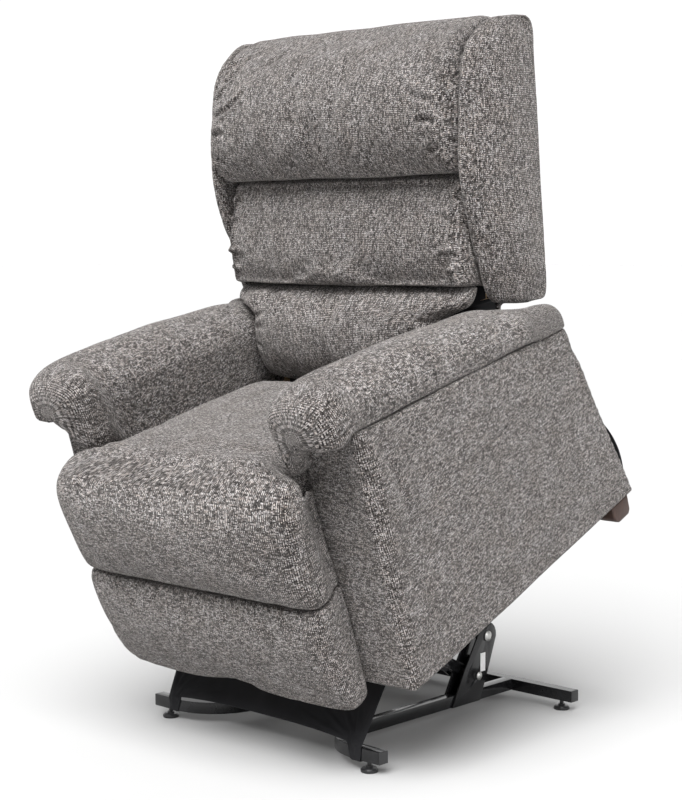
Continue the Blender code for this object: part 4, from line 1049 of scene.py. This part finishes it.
def board_cloth_and_shade():
    """Black cloth over the face of the back board, turned back at its sides and top to the outside back; its
    black also paints the shade in the gaps between the pillows.
    """
    grow = 0.0007
    low, wide = 0.2660, 0.332 + grow
    right = [(low, -0.030 - grow), (low, 0.205 - grow), (wide, 0.225 - grow), (wide, 0.755 + grow)]
    outline = right + [(-x, up) for x, up in reversed(right)]
    bm = bmesh.new()
    face = [bm.verts.new((x, 0.0293, up)) for x, up in outline]
    rear = [bm.verts.new((x, 0.1415, up)) for x, up in outline]
    bm.faces.new(face)
    for k in range(len(outline) - 1):
        bm.faces.new((face[k], rear[k], rear[k + 1], face[k + 1]))
    bmesh.ops.recalc_face_normals(bm, faces=bm.faces)
    folded = [edge for edge in bm.edges if len(edge.link_faces) == 2]
    bmesh.ops.bevel(bm, geom=folded, offset=0.002, segments=2, affect="EDGES")
    bmesh.ops.triangulate(bm, faces=bm.faces)
    mesh = bpy.data.meshes.new("board_cloth_and_shade")
    bm.to_mesh(mesh)
    bm.free()
    ob = new_object("back_board_cloth_and_shade", mesh)
    area = thicken(ob, 0.0006)
    # black cloth, so the gaps between the pillows show painted shade
    settle(ob, BACK, "backrest", SKIRT_CLOTH)


def dust_cover():
    """Black cloth hung across the back of the base unit."""
    columns = np.linspace(-0.414, 0.414, 140)
    heights = np.linspace(0.190, 0.020, 30)
    grid = np.zeros((len(heights), len(columns), 3))
    for i, z in enumerate(heights):
        hang = sin(pi * i / (len(heights) - 1)) ** 0.7
        for k, x in enumerate(columns):
            swell = 0.024 + 0.010 * sin(pi * k / (len(columns) - 1))
            swell += 0.0022 * sin(k * 0.55) + 0.0015 * sin(k * 0.23 + 1.0)
            grid[i, k] = (x, panel_rear(z) + 0.002 + swell * hang, z)
    ob = cloth_grid("dust_cover_sheet", grid)
    ripple(ob, 0.0020, 0.09, 42)
    area = thicken(ob)
    settle(ob, SEAT, "seat_unit", SKIRT_CLOTH)
    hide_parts("dust_cover")


# ---- hard parts ----
def eased(node, width, steps=2, keep=None):
    """A CAD part with its sharp outer edges rounded off; keep(edge) leaves an edge sharp."""
    body = frame["nodes"][node]["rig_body"]
    finish = slot_of(node)
    ob = new_object(node + "_eased", frame["nodes"][node].data.copy())
    bm = bmesh.new()
    bm.from_mesh(ob.data)
    bmesh.ops.remove_doubles(bm, verts=bm.verts, dist=1e-6)
    bmesh.ops.dissolve_limit(bm, angle_limit=radians(2), verts=bm.verts, edges=bm.edges)
    sharp = []
    for edge in bm.edges:
        if len(edge.link_faces) == 2 and edge.is_convex and edge.calc_face_angle(0.0) > radians(38):
            if keep is None or not keep(edge):
                sharp.append(edge)
    bmesh.ops.bevel(
        bm, geom=sharp, offset=width, segments=steps, profile=0.5, affect="EDGES", clamp_overlap=True)
    bmesh.ops.recalc_face_normals(bm, faces=bm.faces)
    bm.to_mesh(ob.data)
    bm.free()
    shade_by_angle(ob)
    settle(ob, WORLD, body, FINISH[finish])
    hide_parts(node)


def slot_of(node):
    for part in frame["record"]["subparts"]:
        if part["node"] == node:
            return part["material_slot"]


def tube_end(edge):
    """True on the open ends of the base's tubes, which the caps cover."""
    a, b = (vert.co for vert in edge.verts)
    if edge.calc_length() < 0.001:
        return False
    return any(abs(a[k] - b[k]) < 1e-5 and is_end(a, k) and is_end(b, k) for k in (0, 1))


def is_end(point, axis):
    low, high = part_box("base_rear_tube")
    if axis == 0:
        return abs(point.x) > high.x - 0.002
    return abs(point.y - low.y) < 0.002


def hard_parts():
    for name in ("base_rail_left", "base_rail_right", "base_rear_tube"):
        eased(name, 0.0026, 3, tube_end)
    for name in ("front_left", "front_right", "rear_left", "rear_right"):
        eased("end_cap_" + name, 0.0016, 3)
    plates = (
        "tower_left", "tower_right", "motor_clevis", "lift_frame", "lower_link_left", "lower_link_right",
    )
    for name in plates:
        eased(name, 0.0007)
    for name in ("wooden_foot_left", "wooden_foot_right"):
        eased(name, 0.0040, 4)
    eased("control_box", 0.0020, 3)
    for name, ob in frame["nodes"].items():
        if ob.hide_render:
            continue
        ob.data.materials.clear()
        ob.data.materials.append(FINISH[slot_of(name)])
        shade_by_angle(ob)


# ---- assembly ----
def dress(ob, matrix, body, fill, *nodes):
    """Places a padded piece in its tweed over the CAD nodes that it takes the place of."""
    settle(ob, matrix, body, TWEED)
    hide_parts(*nodes)


def upholstery():
    dress(head_pillow(), BACK, "backrest", 0.7, "head_pillow")
    dress(mid_pillow(), BACK, "backrest", 0.7, "mid_pillow")
    dress(lumbar_pillow(), BACK, "backrest", 0.7, "lumbar_pillow")
    for sign, side in ((1, "left"), (-1, "right")):
        dress(wing(sign), BACK, "backrest", 0.8, "wing_" + side)
        dress(arm_sleeve(sign), SEAT, "seat_unit", 0.75, "arm_pad_" + side)
        dress(side_panel(sign), SEAT, "seat_unit", 0.95, "arm_box_" + side)
    dress(outside_back(), BACK, "backrest", 0.8, "back_cover")
    dress(lower_back(), SEAT, "seat_unit", 0.8, "rear_panel")
    dress(footrest_cover(), SEAT, "footrest", 0.8, "footrest_pad_lower")
    long_pad = chaise()
    dress(long_pad, SEAT, None, 0.75, "seat_cushion", "footrest_pad_upper")
    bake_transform(long_pad)


# ---- studio ----
def studio():
    mesh = bpy.data.meshes.new("floor")
    reach = 80.0
    corners = [(-reach, -reach, 0), (reach, -reach, 0), (reach, reach, 0), (-reach, reach, 0)]
    mesh.from_pydata(corners, [], [(0, 1, 2, 3)])
    floor = new_object("floor", mesh)
    pale = Nodes("studio_floor")
    pale.set(Base_Color=(0.50, 0.50, 0.50, 1.0), Roughness=0.9, Specular_IOR_Level=0.1)
    mesh.materials.append(pale.mat)
    bpy.context.scene.world = studio_world()
    sun = bpy.data.lights.new("overhead", "SUN")
    sun.energy = 6.0
    sun.angle = radians(50)
    lamp = new_object("overhead", sun)
    lamp.rotation_euler = Vector((0.22, -0.50, 0.84)).to_track_quat("Z", "Y").to_euler()
    softbox("side_fill", (3.6, 0.2, 1.6), (0.1, 0.1, 0.6), 2.4, 40.0)


def studio_world():
    """White behind the chair as the camera sees it, and dimmer elsewhere."""
    world = bpy.data.worlds.new("studio")
    world.use_nodes = True
    tree = world.node_tree
    direction = tree.nodes.new("ShaderNodeTexCoord").outputs["Generated"]
    toward = tree.nodes.new("ShaderNodeVectorMath")
    toward.operation = "DOT_PRODUCT"
    tree.links.new(direction, toward.inputs[0])
    toward.inputs[1].default_value = (-sin(VIEW_TURN), cos(VIEW_TURN), 0.0)
    spread = tree.nodes.new("ShaderNodeMapRange")
    spread.interpolation_type = "SMOOTHSTEP"
    tree.links.new(toward.outputs["Value"], spread.inputs["Value"])
    for socket, value in (("From Min", 0.35), ("From Max", 0.80), ("To Min", 0.34), ("To Max", 1.05)):
        spread.inputs[socket].default_value = value
    tree.links.new(spread.outputs["Result"], tree.nodes["Background"].inputs["Strength"])
    tree.nodes["Background"].inputs["Color"].default_value = (1.0, 1.0, 1.0, 1.0)
    return world


def softbox(name, at, target, size, power):
    light = bpy.data.lights.new(name, "AREA")
    light.shape = "SQUARE"
    light.size = size
    light.energy = power
    lamp = new_object(name, light)
    lamp.location = at
    lamp.rotation_euler = (Vector(target) - Vector(at)).to_track_quat("-Z", "Y").to_euler()


def camera():
    lens = bpy.data.cameras.new("camera")
    lens.lens = LENS
    lens.sensor_width = SENSOR
    eye = new_object("camera", lens)
    eye.location = EYE
    eye.rotation_euler = (EYE_PITCH, 0.0, VIEW_TURN)
    bpy.context.scene.camera = eye


camera()
hard_parts()
upholstery()
skirt()
board_cloth_and_shade()
dust_cover()
studio()
bpy.context.scene.view_settings.view_transform = "Standard"
